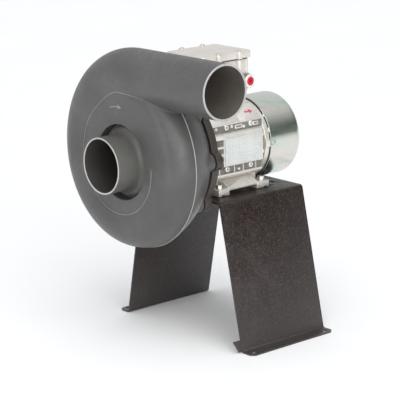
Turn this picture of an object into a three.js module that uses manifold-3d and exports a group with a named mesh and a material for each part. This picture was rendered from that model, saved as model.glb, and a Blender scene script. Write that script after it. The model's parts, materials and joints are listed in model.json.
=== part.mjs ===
// Direct-drive centrifugal blower: plastic volute, foot motor and bent-sheet pedestal.
// Millimetres, +Z up. The shaft lies along Y, the inlet faces -Y and the outlet faces +X.
import * as THREE from 'three';
import { mergeVertices } from 'three/addons/utils/BufferGeometryUtils.js';
import Module from 'manifold-3d';

const wasm = await Module();
wasm.setup();

// ---------------------------------------------------------------- driving dimensions
const GAP = 0.3; // clearance kept between pieces that touch

const pedestal = {
  depth: 180, // along Y, from its front edge at y = 0
  height: 236.5,
  topWidth: 193,
  legSpread: 291, // between the outer leg faces at the floor
  flangeWidth: 25,
  sheet: 2.5,
  bendRadius: 4.5,
  flangeHoleRadius: 4.5,
  flangeHoleInset: 12, // from each end of the flange
  flangeChamfer: 7,
  spareHoleRadius: 3.5,
  spareHoleX: 51,
  spareHoleY: 156,
  earHeight: 21,
  earReach: 15,
};

const motor = {
  axisHeight: 71, // from the underside of the feet to the shaft axis
  frameFront: 14.3,
  frameLength: 113.7,
  boreRadius: 50,
  frameRadius: 57.5,
  finRadius: 66.5,
  finThickness: 2.6,
  finPitch: 6.6,
  sidePad: 65.7, // distance of the flat side pads from the axis
  sidePadHalfHeight: 24,
  topPad: 66,
  topPadHalfWidth: 36,
  footPad: 46, // distance of the foot seats below the axis
  footPadInner: 35,
  footPadOuter: 46,
  bossRadius: 5,
  bossHeight: 38,
  flangeRadius: 52.5,
  shieldRadius: 62,
  rearShieldRadius: 64.5,
  shieldWall: 6,
};

const shaft = {
  driveRadius: 7,
  seatRadius: 7.5,
  coreRadius: 11,
  front: -45,
  rear: 178,
};

const bearing = { bore: 7.8, outer: 17.5, width: 11, clearance: 0.3 };

const feet = {
  boltX: 56, // half the distance between the foot holes
  frontBoltY: 36,
  boltPitch: 90,
  outer: 68,
  padLength: 20,
  padHeight: 11,
  webSlopeTop: 45,
  grooveHeight: 2.6,
  grooveWidth: 7,
};

const footBolt = {
  radius: 3,
  headRadius: 5.8,
  headHeight: 4.2,
  washerRadius: 7.2,
  washer: 1.5,
  nutHeight: 5,
};

const cowl = {
  front: 138.5,
  back: 208,
  radius: 69,
  sheet: 1.5,
  cornerRadius: 12,
  holeRadius: 4.4,
  holeRings: 3,
  holePitch: 14,
  screwY: 143.5,
  screwAngles: [0, 120, 240], // in degrees round the shaft
};

const fan = { hubRadius: 13, front: 152, back: 182, radius: 57, blades: 8, blade: 2, plate: 2.4 };

const terminalBox = {
  front: 17,
  back: 117,
  halfWidth: 43,
  neckInset: 7,
  neckHeight: 24,
  height: 74, // from the motor's top pad to the rim
  wall: 3.2,
  cornerRadius: 9,
  columnRadius: 5.6,
  columnHeight: 22,
  frontColumnY: 48,
  rearColumnY: 92,
};

const boxLid = { overhang: 3.6, height: 11.5, wall: 3, bevel: 2, gasket: 1.2 };

const gland = {
  y: 103,
  height: 40.5, // above the motor's top pad
  bore: 8.3,
  thread: 9.7,
  collar: 11.6,
  boss: 14,
  bossDepth: 4,
  reach: 10,
};

const nameplate = { length: 78, height: 45, thickness: 0.8, front: 41 };

const adaptor = {
  front: -19.5,
  back: -6,
  radius: 105,
  boreRadius: 30,
  lobeCircle: 101,
  lobeRadius: 15,
  lobes: 8,
  rim: 8,
  web: 5.5,
  hub: 68,
  rib: 3,
};

const casingScrew = { radius: 2.5, headRadius: 4.6, headHeight: 3.4, depth: 4.4 };
const flangeScrew = { circle: 42.5, radius: 2.7, headRadius: 4.8, headHeight: 4 };

const casing = {
  front: -119, // outer face of the flat front plate
  seam: -81.3,
  back: -22,
  hubRadius: 102,
  wall: 3.5,
  radiusRight: 139, // scroll radius at the seam, clockwise as seen from the inlet
  radiusBottom: 144,
  radiusLeft: 160.5,
  radiusTop: 176,
  outletRadius: 43.2,
  outletX: 208,
  shoulder: 32, // radial depth of the rounded shoulder where the scroll starts
  backShoulder: 37,
  backRoundness: 1.25, // 1 is a straight cone behind the seam and 2 is an ellipse
  bossDepth: 20,
  ridgeStart: 73, // radius where the raised channel starts on the front plate
  shaftHole: 14,
};

// The well takes its width from the spigot's collar, and the impeller's eye from the spigot.
const well = { collarGap: 4, depth: 16, spigotGap: 1.9, wall: 3.5 };

const spigot = { radius: 45.1, wall: 2.6, rim: -158, collarWidth: 10.9, collar: 8, tail: -88, flare: 6 };

const impeller = {
  radius: 80,
  eyeGap: 1.4, // between the spigot and the eye, measured along the radius
  back: -37,
  plate: 3,
  eyeFront: -86,
  rimFront: -70,
  shroud: 2.6,
  shroudLip: 7,
  blades: 8,
  blade: 2.6,
  bladeInset: 0.5, // of the blades' inner edges within the eye
  hubRadius: 20,
  bore: 11,
  hubFront: -46,
  hubBack: -32,
};

const hubBolt = { radius: 3, depth: 14, headRadius: 5.8, headHeight: 4.2, washerRadius: 13, washer: 2 };
const rotorCore = { radius: 31.4, front: 32, length: 72, endRing: 6 };
const statorCore = { fit: 0.4, bore: 32.2, front: 34, length: 68, winding: 12 };

// ---------------------------------------------------------------- shared positions
const shaftZ = pedestal.height + GAP + motor.axisHeight;
const footTop = -motor.footPad - GAP;
const footBottom = -motor.axisHeight;
const frameBack = motor.frameFront + motor.frameLength;
const boxBottom = motor.topPad + GAP;
const boxTop = boxBottom + terminalBox.height;
const outletZ = casing.radiusTop - casing.outletRadius;
const collarRadius = spigot.radius + spigot.collarWidth;
const wellRadius = collarRadius + well.collarGap;
const wellFloorRadius = spigot.radius + well.spigotGap;
const eyeRadius = spigot.radius + impeller.eyeGap;
const statorRadius = motor.boreRadius - statorCore.fit;
const boltYs = [feet.frontBoltY, feet.frontBoltY + feet.boltPitch];
const QUARTER = 5; // facets in a quarter turn of the volute's rounded sections

// ---------------------------------------------------------------- geometry helpers
function signedVolume(geometry) {
  const position = geometry.getAttribute('position');
  const index = geometry.index;
  const [a, b, c] = [new THREE.Vector3(), new THREE.Vector3(), new THREE.Vector3()];
  let volume = 0;
  for (let i = 0; i < index.count; i += 3) {
    a.fromBufferAttribute(position, index.getX(i));
    b.fromBufferAttribute(position, index.getX(i + 1));
    c.fromBufferAttribute(position, index.getX(i + 2));
    volume += a.dot(b.cross(c)) / 6;
  }
  return volume;
}

// Merges shared corners, drops collapsed triangles and turns the faces outward.
function closed(geometry) {
  const plain = geometry.clone();
  plain.deleteAttribute('normal');
  plain.deleteAttribute('uv');
  const merged = mergeVertices(plain, 1e-4);
  const old = merged.index.array;
  const kept = [];
  for (let i = 0; i < old.length; i += 3) {
    const [a, b, c] = [old[i], old[i + 1], old[i + 2]];
    if (a !== b && b !== c && c !== a) kept.push(a, b, c);
  }
  merged.setIndex(kept);
  if (signedVolume(merged) < 0) merged.setIndex(kept.reverse());
  return merged;
}

function toSolid(geometry) {
  const whole = closed(geometry);
  return new wasm.Manifold(new wasm.Mesh({
    numProp: 3,
    vertProperties: new Float32Array(whole.getAttribute('position').array),
    triVerts: new Uint32Array(whole.index.array),
  }));
}

function toGeometry(solid) {
  const mesh = solid.getMesh();
  const geometry = new THREE.BufferGeometry();
  geometry.setAttribute('position', new THREE.BufferAttribute(mesh.vertProperties, 3));
  geometry.setIndex(Array.from(mesh.triVerts));
  geometry.computeVertexNormals();
  return geometry;
}

function join(...geometries) {
  return toGeometry(geometries.map(toSolid).reduce((sum, next) => sum.add(next)));
}

function cut(geometry, ...tools) {
  return toGeometry(tools.map(toSolid).reduce((rest, tool) => rest.subtract(tool), toSolid(geometry)));
}

function common(first, second) {
  return toGeometry(toSolid(first).intersect(toSolid(second)));
}

// A solid of revolution about the Y axis from [radius, y] corners.
// A profile that stays off the axis is closed on itself.
function revolve(profile, segments = 24) {
  const points = profile.map(([r, y]) => new THREE.Vector2(r, y));
  const touchesAxis = points[0].x === 0;
  if (!touchesAxis) points.push(points[0].clone());
  return closed(new THREE.LatheGeometry(points, segments));
}

function ring(inner, outer, y0, y1, segments = 24) {
  return revolve([[inner, y0], [outer, y0], [outer, y1], [inner, y1]], segments);
}

function disc(radius, y0, y1, segments = 24) {
  return revolve([[0, y0], [radius, y0], [radius, y1], [0, y1]], segments);
}

function block(x0, x1, y0, y1, z0, z1) {
  const geometry = new THREE.BoxGeometry(x1 - x0, y1 - y0, z1 - z0);
  return geometry.translate((x0 + x1) / 2, (y0 + y1) / 2, (z0 + z1) / 2);
}

function shapeOf(corners) {
  return new THREE.Shape(corners.map(([u, v]) => new THREE.Vector2(u, v)));
}

// Extrudes an XZ outline along Y.
function alongY(shape, y0, y1, curveSegments = 12) {
  const geometry = new THREE.ExtrudeGeometry(shape, { depth: y1 - y0, bevelEnabled: false, curveSegments });
  return geometry.rotateX(Math.PI / 2).translate(0, y1, 0);
}

// Extrudes an XY outline along Z.
function alongZ(shape, z0, z1, curveSegments = 4) {
  const geometry = new THREE.ExtrudeGeometry(shape, { depth: z1 - z0, bevelEnabled: false, curveSegments });
  return geometry.translate(0, 0, z0);
}

function postZ(radius, x, y, z0, z1, segments = 10) {
  const geometry = new THREE.CylinderGeometry(radius, radius, z1 - z0, segments);
  return geometry.rotateX(Math.PI / 2).translate(x, y, (z0 + z1) / 2);
}

function postX(radius, x0, x1, y, z, segments = 12) {
  const geometry = new THREE.CylinderGeometry(radius, radius, x1 - x0, segments);
  return geometry.rotateZ(Math.PI / 2).translate((x0 + x1) / 2, y, z);
}

function postY(radius, x, z, y0, y1, segments = 10) {
  const geometry = new THREE.CylinderGeometry(radius, radius, y1 - y0, segments);
  return geometry.translate(x, (y0 + y1) / 2, z);
}

function polar(radius, degrees) {
  const angle = THREE.MathUtils.degToRad(degrees);
  return [radius * Math.cos(angle), radius * Math.sin(angle)];
}

function roundedRectangle(x0, x1, y0, y1, radius) {
  const shape = new THREE.Shape();
  shape.moveTo(x0 + radius, y0);
  shape.lineTo(x1 - radius, y0);
  shape.absarc(x1 - radius, y0 + radius, radius, -Math.PI / 2, 0);
  shape.lineTo(x1, y1 - radius);
  shape.absarc(x1 - radius, y1 - radius, radius, 0, Math.PI / 2);
  shape.lineTo(x0 + radius, y1);
  shape.absarc(x0 + radius, y1 - radius, radius, Math.PI / 2, Math.PI);
  shape.lineTo(x0, y0 + radius);
  shape.absarc(x0 + radius, y0 + radius, radius, Math.PI, Math.PI * 1.5);
  return shape;
}

// Joins equal closed rings of points into one capped solid.
function loft(rings, capOutline) {
  const size = rings[0].length;
  const last = (rings.length - 1) * size;
  const index = [];
  for (let i = 0; i + 1 < rings.length; i += 1) {
    for (let j = 0; j < size; j += 1) {
      const a = i * size + j;
      const b = i * size + ((j + 1) % size);
      index.push(a, b, a + size, b, b + size, a + size);
    }
  }
  for (const [a, b, c] of THREE.ShapeUtils.triangulateShape(capOutline(rings[0]), [])) {
    index.push(a, c, b);
  }
  for (const [a, b, c] of THREE.ShapeUtils.triangulateShape(capOutline(rings[rings.length - 1]), [])) {
    index.push(last + a, last + b, last + c);
  }
  const geometry = new THREE.BufferGeometry().setFromPoints(rings.flat());
  geometry.setIndex(index);
  return geometry;
}

// ---------------------------------------------------------------- materials and assembly
function finish(color, roughness, metalness) {
  return new THREE.MeshStandardMaterial({ color, roughness, metalness });
}

const materials = {
  casing: finish(0x6b6866, 0.5, 0),
  spigot: finish(0x6f6e69, 0.45, 0),
  adaptor: finish(0x57514e, 0.6, 0),
  impeller: finish(0x3f3d3c, 0.5, 0),
  aluminium: finish(0xc9c4bc, 0.5, 0.6),
  zinc: finish(0xb4bdb8, 0.25, 0.9),
  steel: finish(0xa8a8a6, 0.35, 0.9),
  core: finish(0x77787a, 0.45, 0.8),
  copper: finish(0xb06a3a, 0.4, 0.8),
  paint: finish(0x3a3230, 0.55, 0.2),
  fanPlastic: finish(0x2b2b2c, 0.5, 0),
  board: finish(0x6a3b22, 0.6, 0),
  plate: finish(0xd8dad8, 0.35, 0.6),
  rubber: finish(0x1d1d1e, 0.8, 0),
  plug: finish(0xc8102e, 0.4, 0),
  ring: finish(0xd9d8d2, 0.4, 0),
};

const assembly = new THREE.Group();
const shaftGroup = new THREE.Group();
shaftGroup.position.z = shaftZ;
assembly.add(shaftGroup);

function add(group, name, geometry, material) {
  const mesh = new THREE.Mesh(geometry, material.clone());
  mesh.name = name;
  group.add(mesh);
}

// ---------------------------------------------------------------- pedestal
function arcCorner(before, corner, after, radius, steps) {
  const inward = before.clone().sub(corner).normalize();
  const outward = after.clone().sub(corner).normalize();
  const half = inward.angleTo(outward) / 2;
  const middle = inward.clone().add(outward).normalize();
  const centre = corner.clone().addScaledVector(middle, radius / Math.sin(half));
  const start = corner.clone().addScaledVector(inward, radius / Math.tan(half)).sub(centre);
  const end = corner.clone().addScaledVector(outward, radius / Math.tan(half)).sub(centre);
  const points = [];
  for (let i = 0; i <= steps; i += 1) {
    const blend = start.clone().lerp(end, i / steps).setLength(radius);
    points.push(centre.clone().add(blend));
  }
  return points;
}

function ribbon(path, thickness) {
  const side = (sign) => path.map((point, i) => {
    const before = path[Math.max(i - 1, 0)];
    const after = path[Math.min(i + 1, path.length - 1)];
    const along = after.clone().sub(before).normalize();
    return new THREE.Vector2(-along.y, along.x).multiplyScalar((sign * thickness) / 2).add(point);
  });
  return new THREE.Shape([...side(1), ...side(-1).reverse()]);
}

function pedestalPath() {
  const middle = pedestal.sheet / 2;
  const leg = pedestal.legSpread / 2;
  const foot = leg + pedestal.flangeWidth;
  const top = pedestal.topWidth / 2;
  const corners = [
    [-foot, middle], [-leg, middle], [-top, pedestal.height - middle],
    [top, pedestal.height - middle], [leg, middle], [foot, middle],
  ].map(([x, z]) => new THREE.Vector2(x, z));
  const path = [corners[0]];
  for (let i = 1; i + 1 < corners.length; i += 1) {
    path.push(...arcCorner(corners[i - 1], corners[i], corners[i + 1], pedestal.bendRadius, 4));
  }
  path.push(corners[corners.length - 1]);
  return path;
}

function pedestalEar() {
  const { earHeight, earReach, sheet, legSpread, topWidth, height } = pedestal;
  const lean = Math.atan2((legSpread - topWidth) / 2, height);
  const outline = shapeOf([[2, sheet], [2, earHeight], [-earReach, earHeight], [-earReach * 0.4, sheet]]);
  const ear = new THREE.ExtrudeGeometry(outline, { depth: sheet, bevelEnabled: false });
  ear.applyMatrix4(new THREE.Matrix4().makeBasis(
    new THREE.Vector3(0, 1, 0), new THREE.Vector3(0, 0, 1), new THREE.Vector3(1, 0, 0),
  ));
  return ear.translate(-sheet / 2, 0, 0).rotateY(-lean).translate(legSpread / 2, 0, 0);
}

function flangeCorner(side, y, towards) {
  const outer = pedestal.legSpread / 2 + pedestal.flangeWidth;
  const chamfer = pedestal.flangeChamfer;
  const outline = shapeOf([
    [side * (outer - chamfer), y - towards],
    [side * (outer + 1), y - towards],
    [side * (outer + 1), y + towards * (chamfer + 1)],
  ]);
  return alongZ(outline, -1, pedestal.sheet + 1);
}

function makePedestal() {
  const tools = [];
  const holeX = (pedestal.legSpread + pedestal.flangeWidth) / 2 + 2;
  const { sheet, height, depth, flangeHoleInset, flangeHoleRadius } = pedestal;
  for (const side of [-1, 1]) {
    for (const y of [flangeHoleInset, depth - flangeHoleInset]) {
      tools.push(postZ(flangeHoleRadius, side * holeX, y, -1, sheet + 1));
    }
    tools.push(flangeCorner(side, 0, 1), flangeCorner(side, depth, -1));
    for (const y of boltYs) {
      tools.push(postZ(footBolt.radius + GAP, side * feet.boltX, y, height - sheet - 1, height + 1));
    }
    tools.push(postZ(pedestal.spareHoleRadius, side * pedestal.spareHoleX, pedestal.spareHoleY,
      height - sheet - 1, height + 1));
  }
  const sheetSolid = alongY(ribbon(pedestalPath(), sheet), 0, depth);
  add(assembly, 'pedestal', cut(join(sheetSolid, pedestalEar()), ...tools), materials.paint);
}

// ---------------------------------------------------------------- motor feet and their bolts
function makeFoot(name, side) {
  const front = boltYs[0] - feet.padLength / 2;
  const padTop = footBottom + feet.padHeight;
  const { footPadInner: inner, footPadOuter: outer } = motor;
  const span = (x0, x1) => (side > 0 ? [x0, x1] : [-x1, -x0]);
  const spine = block(...span(inner, outer - 2), front, frameBack - 2, footBottom, footTop);
  const pads = boltYs.map((y) => block(
    ...span(outer - 4, feet.outer), y - feet.padLength / 2, y + feet.padLength / 2, footBottom, padTop,
  ));
  const web = alongY(shapeOf([
    [inner + 2, footTop], [feet.webSlopeTop, footTop], [feet.outer - 1, padTop + 1],
    [feet.outer - 1, padTop - 4], [outer - 6, padTop - 4],
  ].map(([x, z]) => [side * x, z])), front + feet.padLength - 1, boltYs[1] - feet.padLength / 2 + 1);
  const holes = boltYs.map((y) => postZ(
    footBolt.radius + GAP, side * feet.boltX, y, footBottom - 1, padTop + 1,
  ));
  const grooves = boltYs.map((y) => block(
    ...span(inner - 1, feet.outer + 1), y + 2, y + 2 + feet.grooveWidth, footBottom - 1,
    footBottom + feet.grooveHeight,
  ));
  add(shaftGroup, name, cut(join(spine, ...pads, web), ...holes, ...grooves), materials.aluminium);
}

function hexagon(radius, x, y, z0, z1) {
  return postZ(radius, x, y, z0, z1, 6);
}

function makeFootBolt(number, x, y) {
  const padTop = footBottom + feet.padHeight + GAP;
  const washerTop = padTop + footBolt.washer;
  const sheetBottom = footBottom - GAP - pedestal.sheet;
  const nutTop = sheetBottom - GAP;
  const nutBottom = nutTop - footBolt.nutHeight;
  const bolt = join(
    postZ(footBolt.radius, x, y, nutBottom - 3, padTop + 1),
    postZ(footBolt.washerRadius, x, y, padTop, washerTop, 12),
    hexagon(footBolt.headRadius, x, y, washerTop - 0.1, washerTop + footBolt.headHeight),
  );
  add(shaftGroup, `foot_bolt_${number}`, bolt, materials.steel);
  const nut = cut(
    hexagon(footBolt.headRadius, x, y, nutBottom, nutTop),
    postZ(footBolt.radius + GAP, x, y, nutBottom - 1, nutTop + 1),
  );
  add(shaftGroup, `foot_nut_${number}`, nut, materials.steel);
}

// ---------------------------------------------------------------- motor
function housingFins() {
  const fins = [];
  const { finRadius, finThickness, finPitch, sidePadHalfHeight, frameFront, topPadHalfWidth } = motor;
  const inner = motor.boreRadius + 2;
  for (const side of [-1, 1]) {
    for (let z = sidePadHalfHeight + finPitch; z < finRadius * 0.82; z += finPitch) {
      const reach = Math.sqrt(finRadius ** 2 - z ** 2);
      const start = Math.sqrt(Math.max(inner ** 2 - z ** 2, 0)) - 1;
      for (const up of [-1, 1]) {
        const nearFoot = up < 0 && z > motor.footPad - finPitch;
        const nearBox = up > 0 && start < topPadHalfWidth - 20;
        if (nearFoot || nearBox) continue;
        const z0 = up * z - finThickness / 2;
        const [x0, x1] = side > 0 ? [start, reach] : [-reach, -start];
        fins.push(block(x0, x1, frameFront, frameBack, z0, z0 + finThickness));
      }
    }
  }
  for (let x = -2 * finPitch; x <= 2 * finPitch; x += finPitch) {
    const x0 = x - finThickness / 2;
    fins.push(block(x0, x0 + finThickness, frameFront, frameBack, -finRadius + 3, -inner));
  }
  return fins;
}

function housingBosses(side) {
  const bosses = [];
  for (const z of [-motor.bossHeight, motor.bossHeight]) {
    for (const y of [frameBack * 0.385, frameBack * 0.785]) {
      const [x0, x1] = side > 0 ? [40, motor.sidePad - 5] : [5 - motor.sidePad, -40];
      bosses.push(postX(motor.bossRadius, x0, x1, y, z, 12));
    }
  }
  return bosses;
}

function makeHousing() {
  const { frameFront, boreRadius, frameRadius, sidePad, sidePadHalfHeight, topPad, topPadHalfWidth } = motor;
  const y0 = frameFront;
  const y1 = frameBack;
  const pieces = [
    disc(frameRadius, y0, y1, 36),
    block(-sidePad, sidePad, y0 + 10, y1 - 4, -sidePadHalfHeight, sidePadHalfHeight),
    block(-topPadHalfWidth, topPadHalfWidth, terminalBox.front + 4, terminalBox.back - 4, 0, topPad),
  ];
  for (const side of [-1, 1]) {
    const [x0, x1] = [motor.footPadInner, motor.footPadOuter].map((x) => x * side).sort((a, b) => a - b);
    pieces.push(block(x0, x1, y0 + 6, y1 - 2, -motor.footPad, 0));
    pieces.push(...housingBosses(side));
  }
  const wiring = postZ(10, 0, (terminalBox.front + terminalBox.back) / 2, boreRadius - 4, topPad + 1, 20);
  const housing = cut(join(...pieces, ...housingFins()), disc(boreRadius, y0 - 1, y1 + 1, 32), wiring);
  add(shaftGroup, 'stator_housing', housing, materials.aluminium);
}

function makeDriveShield() {
  const { flangeRadius, shieldRadius, shieldWall, frameFront } = motor;
  const face = adaptor.back + GAP;
  const back = frameFront - GAP;
  const seat = bearing.outer + bearing.clearance;
  const nose = adaptor.back - 4;
  const shield = revolve([
    [9, nose], [adaptor.boreRadius - GAP, nose], [adaptor.boreRadius - GAP, face], [flangeRadius, face],
    [flangeRadius, face + 7.5], [shieldRadius, back - 6], [shieldRadius, back],
    [shieldRadius - shieldWall, back],
    [shieldRadius - shieldWall - 4, face + 10], [26, face + 8], [23, back - 2], [seat, back - 2],
    [seat, back - 2 - bearing.width - GAP], [9, back - 2 - bearing.width - GAP],
  ]);
  const threads = flangeScrewPlaces().map(([x, z]) => postY(
    flangeScrew.radius + GAP, x, z, face - 1, face + 7, 8,
  ));
  add(shaftGroup, 'drive_end_shield', cut(shield, ...threads), materials.aluminium);
}

function makeRearShield() {
  const { rearShieldRadius, shieldWall } = motor;
  const front = frameBack + GAP;
  const seat = bearing.outer + bearing.clearance;
  const inner = front + bearing.width + GAP;
  const body = revolve([
    [rearShieldRadius - shieldWall - 1, front], [rearShieldRadius, front], [rearShieldRadius, front + 8],
    [rearShieldRadius - 10.5, inner + 1], [22, inner + 3.5], [9, inner + 3.5], [9, inner], [seat, inner],
    [seat, front], [23, front], [26, inner - 4], [rearShieldRadius - shieldWall - 6, inner - 6],
  ]);
  const lugTop = cowl.radius - cowl.sheet - 4 * GAP;
  const lugs = cowl.screwAngles.map((degrees) => {
    const lug = block(rearShieldRadius - 11.5, lugTop, front, cowl.screwY + 4, -5.5, 5.5);
    return lug.rotateY(THREE.MathUtils.degToRad(degrees));
  });
  const threads = cowl.screwAngles.map((degrees) => cowlScrewShape(degrees, cowl.radius - 10, GAP));
  add(shaftGroup, 'rear_end_shield', cut(join(body, ...lugs), ...threads), materials.aluminium);
}

function makeBearings() {
  const frontEnd = motor.frameFront - GAP - 2;
  const rearStart = frameBack + GAP;
  add(shaftGroup, 'front_bearing',
    ring(bearing.bore, bearing.outer, frontEnd - bearing.width, frontEnd), materials.steel);
  add(shaftGroup, 'rear_bearing',
    ring(bearing.bore, bearing.outer, rearStart, rearStart + bearing.width), materials.steel);
}

function makeStator() {
  const { bore, front, length, winding } = statorCore;
  const back = front + length;
  add(shaftGroup, 'stator_core', ring(bore, statorRadius, front, back), materials.core);
  const outer = statorRadius - 3;
  const coil = (y0, y1) => revolve([[bore + 2, y0], [outer, y0], [outer, y1], [bore + 2, y1]]);
  add(shaftGroup, 'front_winding', coil(front - winding, front - GAP), materials.copper);
  add(shaftGroup, 'rear_winding', coil(back + GAP, back + winding), materials.copper);
}

function makeNameplate() {
  const x = motor.sidePad + GAP;
  const half = nameplate.height / 2;
  const end = nameplate.front + nameplate.length;
  const plate = block(x, x + nameplate.thickness, nameplate.front, end, -half, half);
  add(shaftGroup, 'nameplate', plate, materials.plate);
}

// ---------------------------------------------------------------- fan cowl and its screws
function cowlScrewShape(degrees, start, extra) {
  const shank = postX(2 + extra, start, cowl.radius + GAP + 0.1, cowl.screwY, 0, 10);
  return shank.rotateY(THREE.MathUtils.degToRad(degrees));
}

function cowlProfile() {
  const { front, back, radius, sheet, cornerRadius } = cowl;
  const arc = (size, top, steps) => {
    const points = [];
    for (let i = 0; i <= steps; i += 1) {
      const [dr, dy] = polar(size, (90 * i) / steps);
      points.push([radius - cornerRadius + dr, top - size + dy]);
    }
    return points;
  };
  const outside = arc(cornerRadius, back, 3);
  const inside = arc(cornerRadius - sheet, back - sheet, 3).reverse();
  return [[0, back - sheet], ...inside, [radius - sheet, front], [radius, front], ...outside, [0, back]];
}

function makeCowl() {
  const { holeRings, holePitch, holeRadius, back } = cowl;
  const holes = [];
  for (let level = 1; level <= holeRings; level += 1) {
    const count = level * 6;
    for (let i = 0; i < count; i += 1) {
      const [x, z] = polar(level * holePitch, (360 * i) / count);
      holes.push(postY(holeRadius, x, z, back - 5, back + 5, 6));
    }
  }
  const screwHoles = cowl.screwAngles.map((degrees) => cowlScrewShape(degrees, cowl.radius - 5, GAP));
  add(shaftGroup, 'fan_cowl', cut(revolve(cowlProfile(), 36), ...holes, ...screwHoles), materials.zinc);
}

function makeCowlScrews() {
  cowl.screwAngles.forEach((degrees, i) => {
    const head = postX(4, cowl.radius + GAP, cowl.radius + GAP + 2.2, cowl.screwY, 0, 12);
    head.rotateY(THREE.MathUtils.degToRad(degrees));
    const screw = join(cowlScrewShape(degrees, cowl.radius - 9, 0), head);
    add(shaftGroup, `cowl_screw_${i + 1}`, screw, materials.steel);
  });
}

// ---------------------------------------------------------------- terminal box
function columnPlaces() {
  const { halfWidth, frontColumnY, rearColumnY } = terminalBox;
  return [-1, 1].flatMap((side) => [frontColumnY, rearColumnY].map((y) => [side * (halfWidth + 1.4), y]));
}

function makeTerminalBox() {
  const { front, back, halfWidth, neckInset, neckHeight, wall, cornerRadius } = terminalBox;
  const { columnRadius, columnHeight } = terminalBox;
  const glandZ = motor.topPad + gland.height;
  const neckTop = boxBottom + neckHeight;
  const neckX = halfWidth - neckInset;
  const plan = roundedRectangle(-halfWidth, halfWidth, front, back, cornerRadius);
  const upper = alongZ(plan, neckTop - 2, boxTop);
  const neck = alongZ(
    roundedRectangle(-neckX, neckX, front + neckInset, back - neckInset, cornerRadius), boxBottom, neckTop,
  );
  const columns = columnPlaces().flatMap(([x, y]) => [
    postZ(columnRadius, x, y, boxTop - columnHeight, boxTop, 12),
    new THREE.SphereGeometry(columnRadius, 12, 5).rotateX(Math.PI / 2).translate(x, y, boxTop - columnHeight),
  ]);
  const glandBoss = postX(gland.boss, halfWidth - 2, halfWidth + gland.bossDepth, gland.y, glandZ, 20);
  const cavity = alongZ(
    roundedRectangle(-halfWidth + wall, halfWidth - wall, front + wall, back - wall, cornerRadius - wall),
    neckTop + wall, boxTop + 1,
  );
  const inlet = postX(gland.thread + GAP, halfWidth - 10, halfWidth + 10, gland.y, glandZ, 20);
  const wiring = postZ(10, 0, (front + back) / 2, boxBottom - 1, neckTop + 10, 20);
  const threads = columnPlaces().map(([x, y]) => postZ(1.8 + GAP, x, y, boxTop - 14, boxTop + 1, 8));
  const box = cut(join(upper, neck, ...columns, glandBoss), cavity, inlet, wiring, ...threads);
  add(shaftGroup, 'terminal_box', box, materials.aluminium);
}

function makeGasket() {
  const { front, back, halfWidth, cornerRadius, wall } = terminalBox;
  const z = boxTop + GAP;
  const outline = roundedRectangle(-halfWidth, halfWidth, front, back, cornerRadius);
  const opening = roundedRectangle(
    -halfWidth + wall, halfWidth - wall, front + wall, back - wall, cornerRadius - wall,
  );
  const blank = alongZ(outline, z, z + boxLid.gasket);
  const hole = alongZ(opening, z - 1, z + boxLid.gasket + 1);
  const screws = columnPlaces().map(([x, y]) => postZ(1.8 + GAP, x, y, z - 1, z + boxLid.gasket + 1, 8));
  add(shaftGroup, 'lid_gasket', cut(blank, hole, ...screws), materials.rubber);
}

function makeLid() {
  const { front, back, halfWidth, cornerRadius, columnRadius } = terminalBox;
  const { overhang, height, wall, bevel, gasket } = boxLid;
  const z = boxTop + gasket + 2 * GAP;
  const inset = bevel;
  const outline = roundedRectangle(
    -halfWidth - overhang + inset, halfWidth + overhang - inset,
    front - overhang + inset, back + overhang - inset, cornerRadius,
  );
  const blank = new THREE.ExtrudeGeometry(outline, {
    depth: height - 2 * bevel, bevelThickness: bevel, bevelSize: bevel, bevelSegments: 1, curveSegments: 4,
  }).translate(0, 0, z + bevel);
  const columns = columnPlaces().map(([x, y]) => postZ(columnRadius, x, y, z, z + height, 12));
  const cavity = alongZ(roundedRectangle(
    -halfWidth + wall, halfWidth - wall, front + wall, back - wall, cornerRadius - wall,
  ), z - 1, z + height - wall);
  const screws = columnPlaces().map(([x, y]) => postZ(1.8 + GAP, x, y, z - 1, z + height + 1, 8));
  add(shaftGroup, 'terminal_box_lid', cut(join(blank, ...columns), cavity, ...screws), materials.aluminium);
  columnPlaces().forEach(([x, y], i) => {
    const top = z + height + GAP;
    const screw = join(postZ(1.8, x, y, boxTop - 12, top + 0.5, 8), postZ(3.6, x, y, top, top + 2.4, 12));
    add(shaftGroup, `lid_screw_${i + 1}`, screw, materials.steel);
  });
}

function makeTerminalBoard() {
  const z = boxBottom + terminalBox.neckHeight + terminalBox.wall + GAP;
  const y = (terminalBox.front + terminalBox.back) / 2;
  const studs = [-18, 0, 18].flatMap((x) => [-9, 9].map((dy) => postZ(2, x, y + dy, z + 5, z + 16, 8)));
  const base = block(-28, 28, y - 16, y + 16, z, z + 6);
  add(shaftGroup, 'terminal_board', join(base, ...studs), materials.board);
}

function makeGland() {
  const x = terminalBox.halfWidth + gland.bossDepth + GAP;
  const z = motor.topPad + gland.height;
  const body = join(
    postX(gland.thread, terminalBox.halfWidth - 8, x + 1, gland.y, z, 24),
    postX(gland.collar, x, x + gland.reach, gland.y, z, 24),
  );
  const bore = postX(gland.bore, terminalBox.halfWidth - 9, x + gland.reach + 1, gland.y, z, 24);
  add(shaftGroup, 'cable_gland', cut(body, bore), materials.ring);
  const plug = join(
    postX(gland.bore - GAP, terminalBox.halfWidth, x + gland.reach - 2, gland.y, z, 24),
    postX(gland.bore * 0.55, x, x + gland.reach - 0.5, gland.y, z, 16),
  );
  add(shaftGroup, 'gland_plug', plug, materials.plug);
}

// ---------------------------------------------------------------- motor adaptor plate
function lobePlaces() {
  const { lobes, lobeCircle } = adaptor;
  return Array.from({ length: lobes }, (_, i) => polar(lobeCircle, (360 * i) / lobes));
}

function flangeScrewPlaces() {
  return [45, 135, 225, 315].map((degrees) => polar(flangeScrew.circle, degrees));
}

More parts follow.
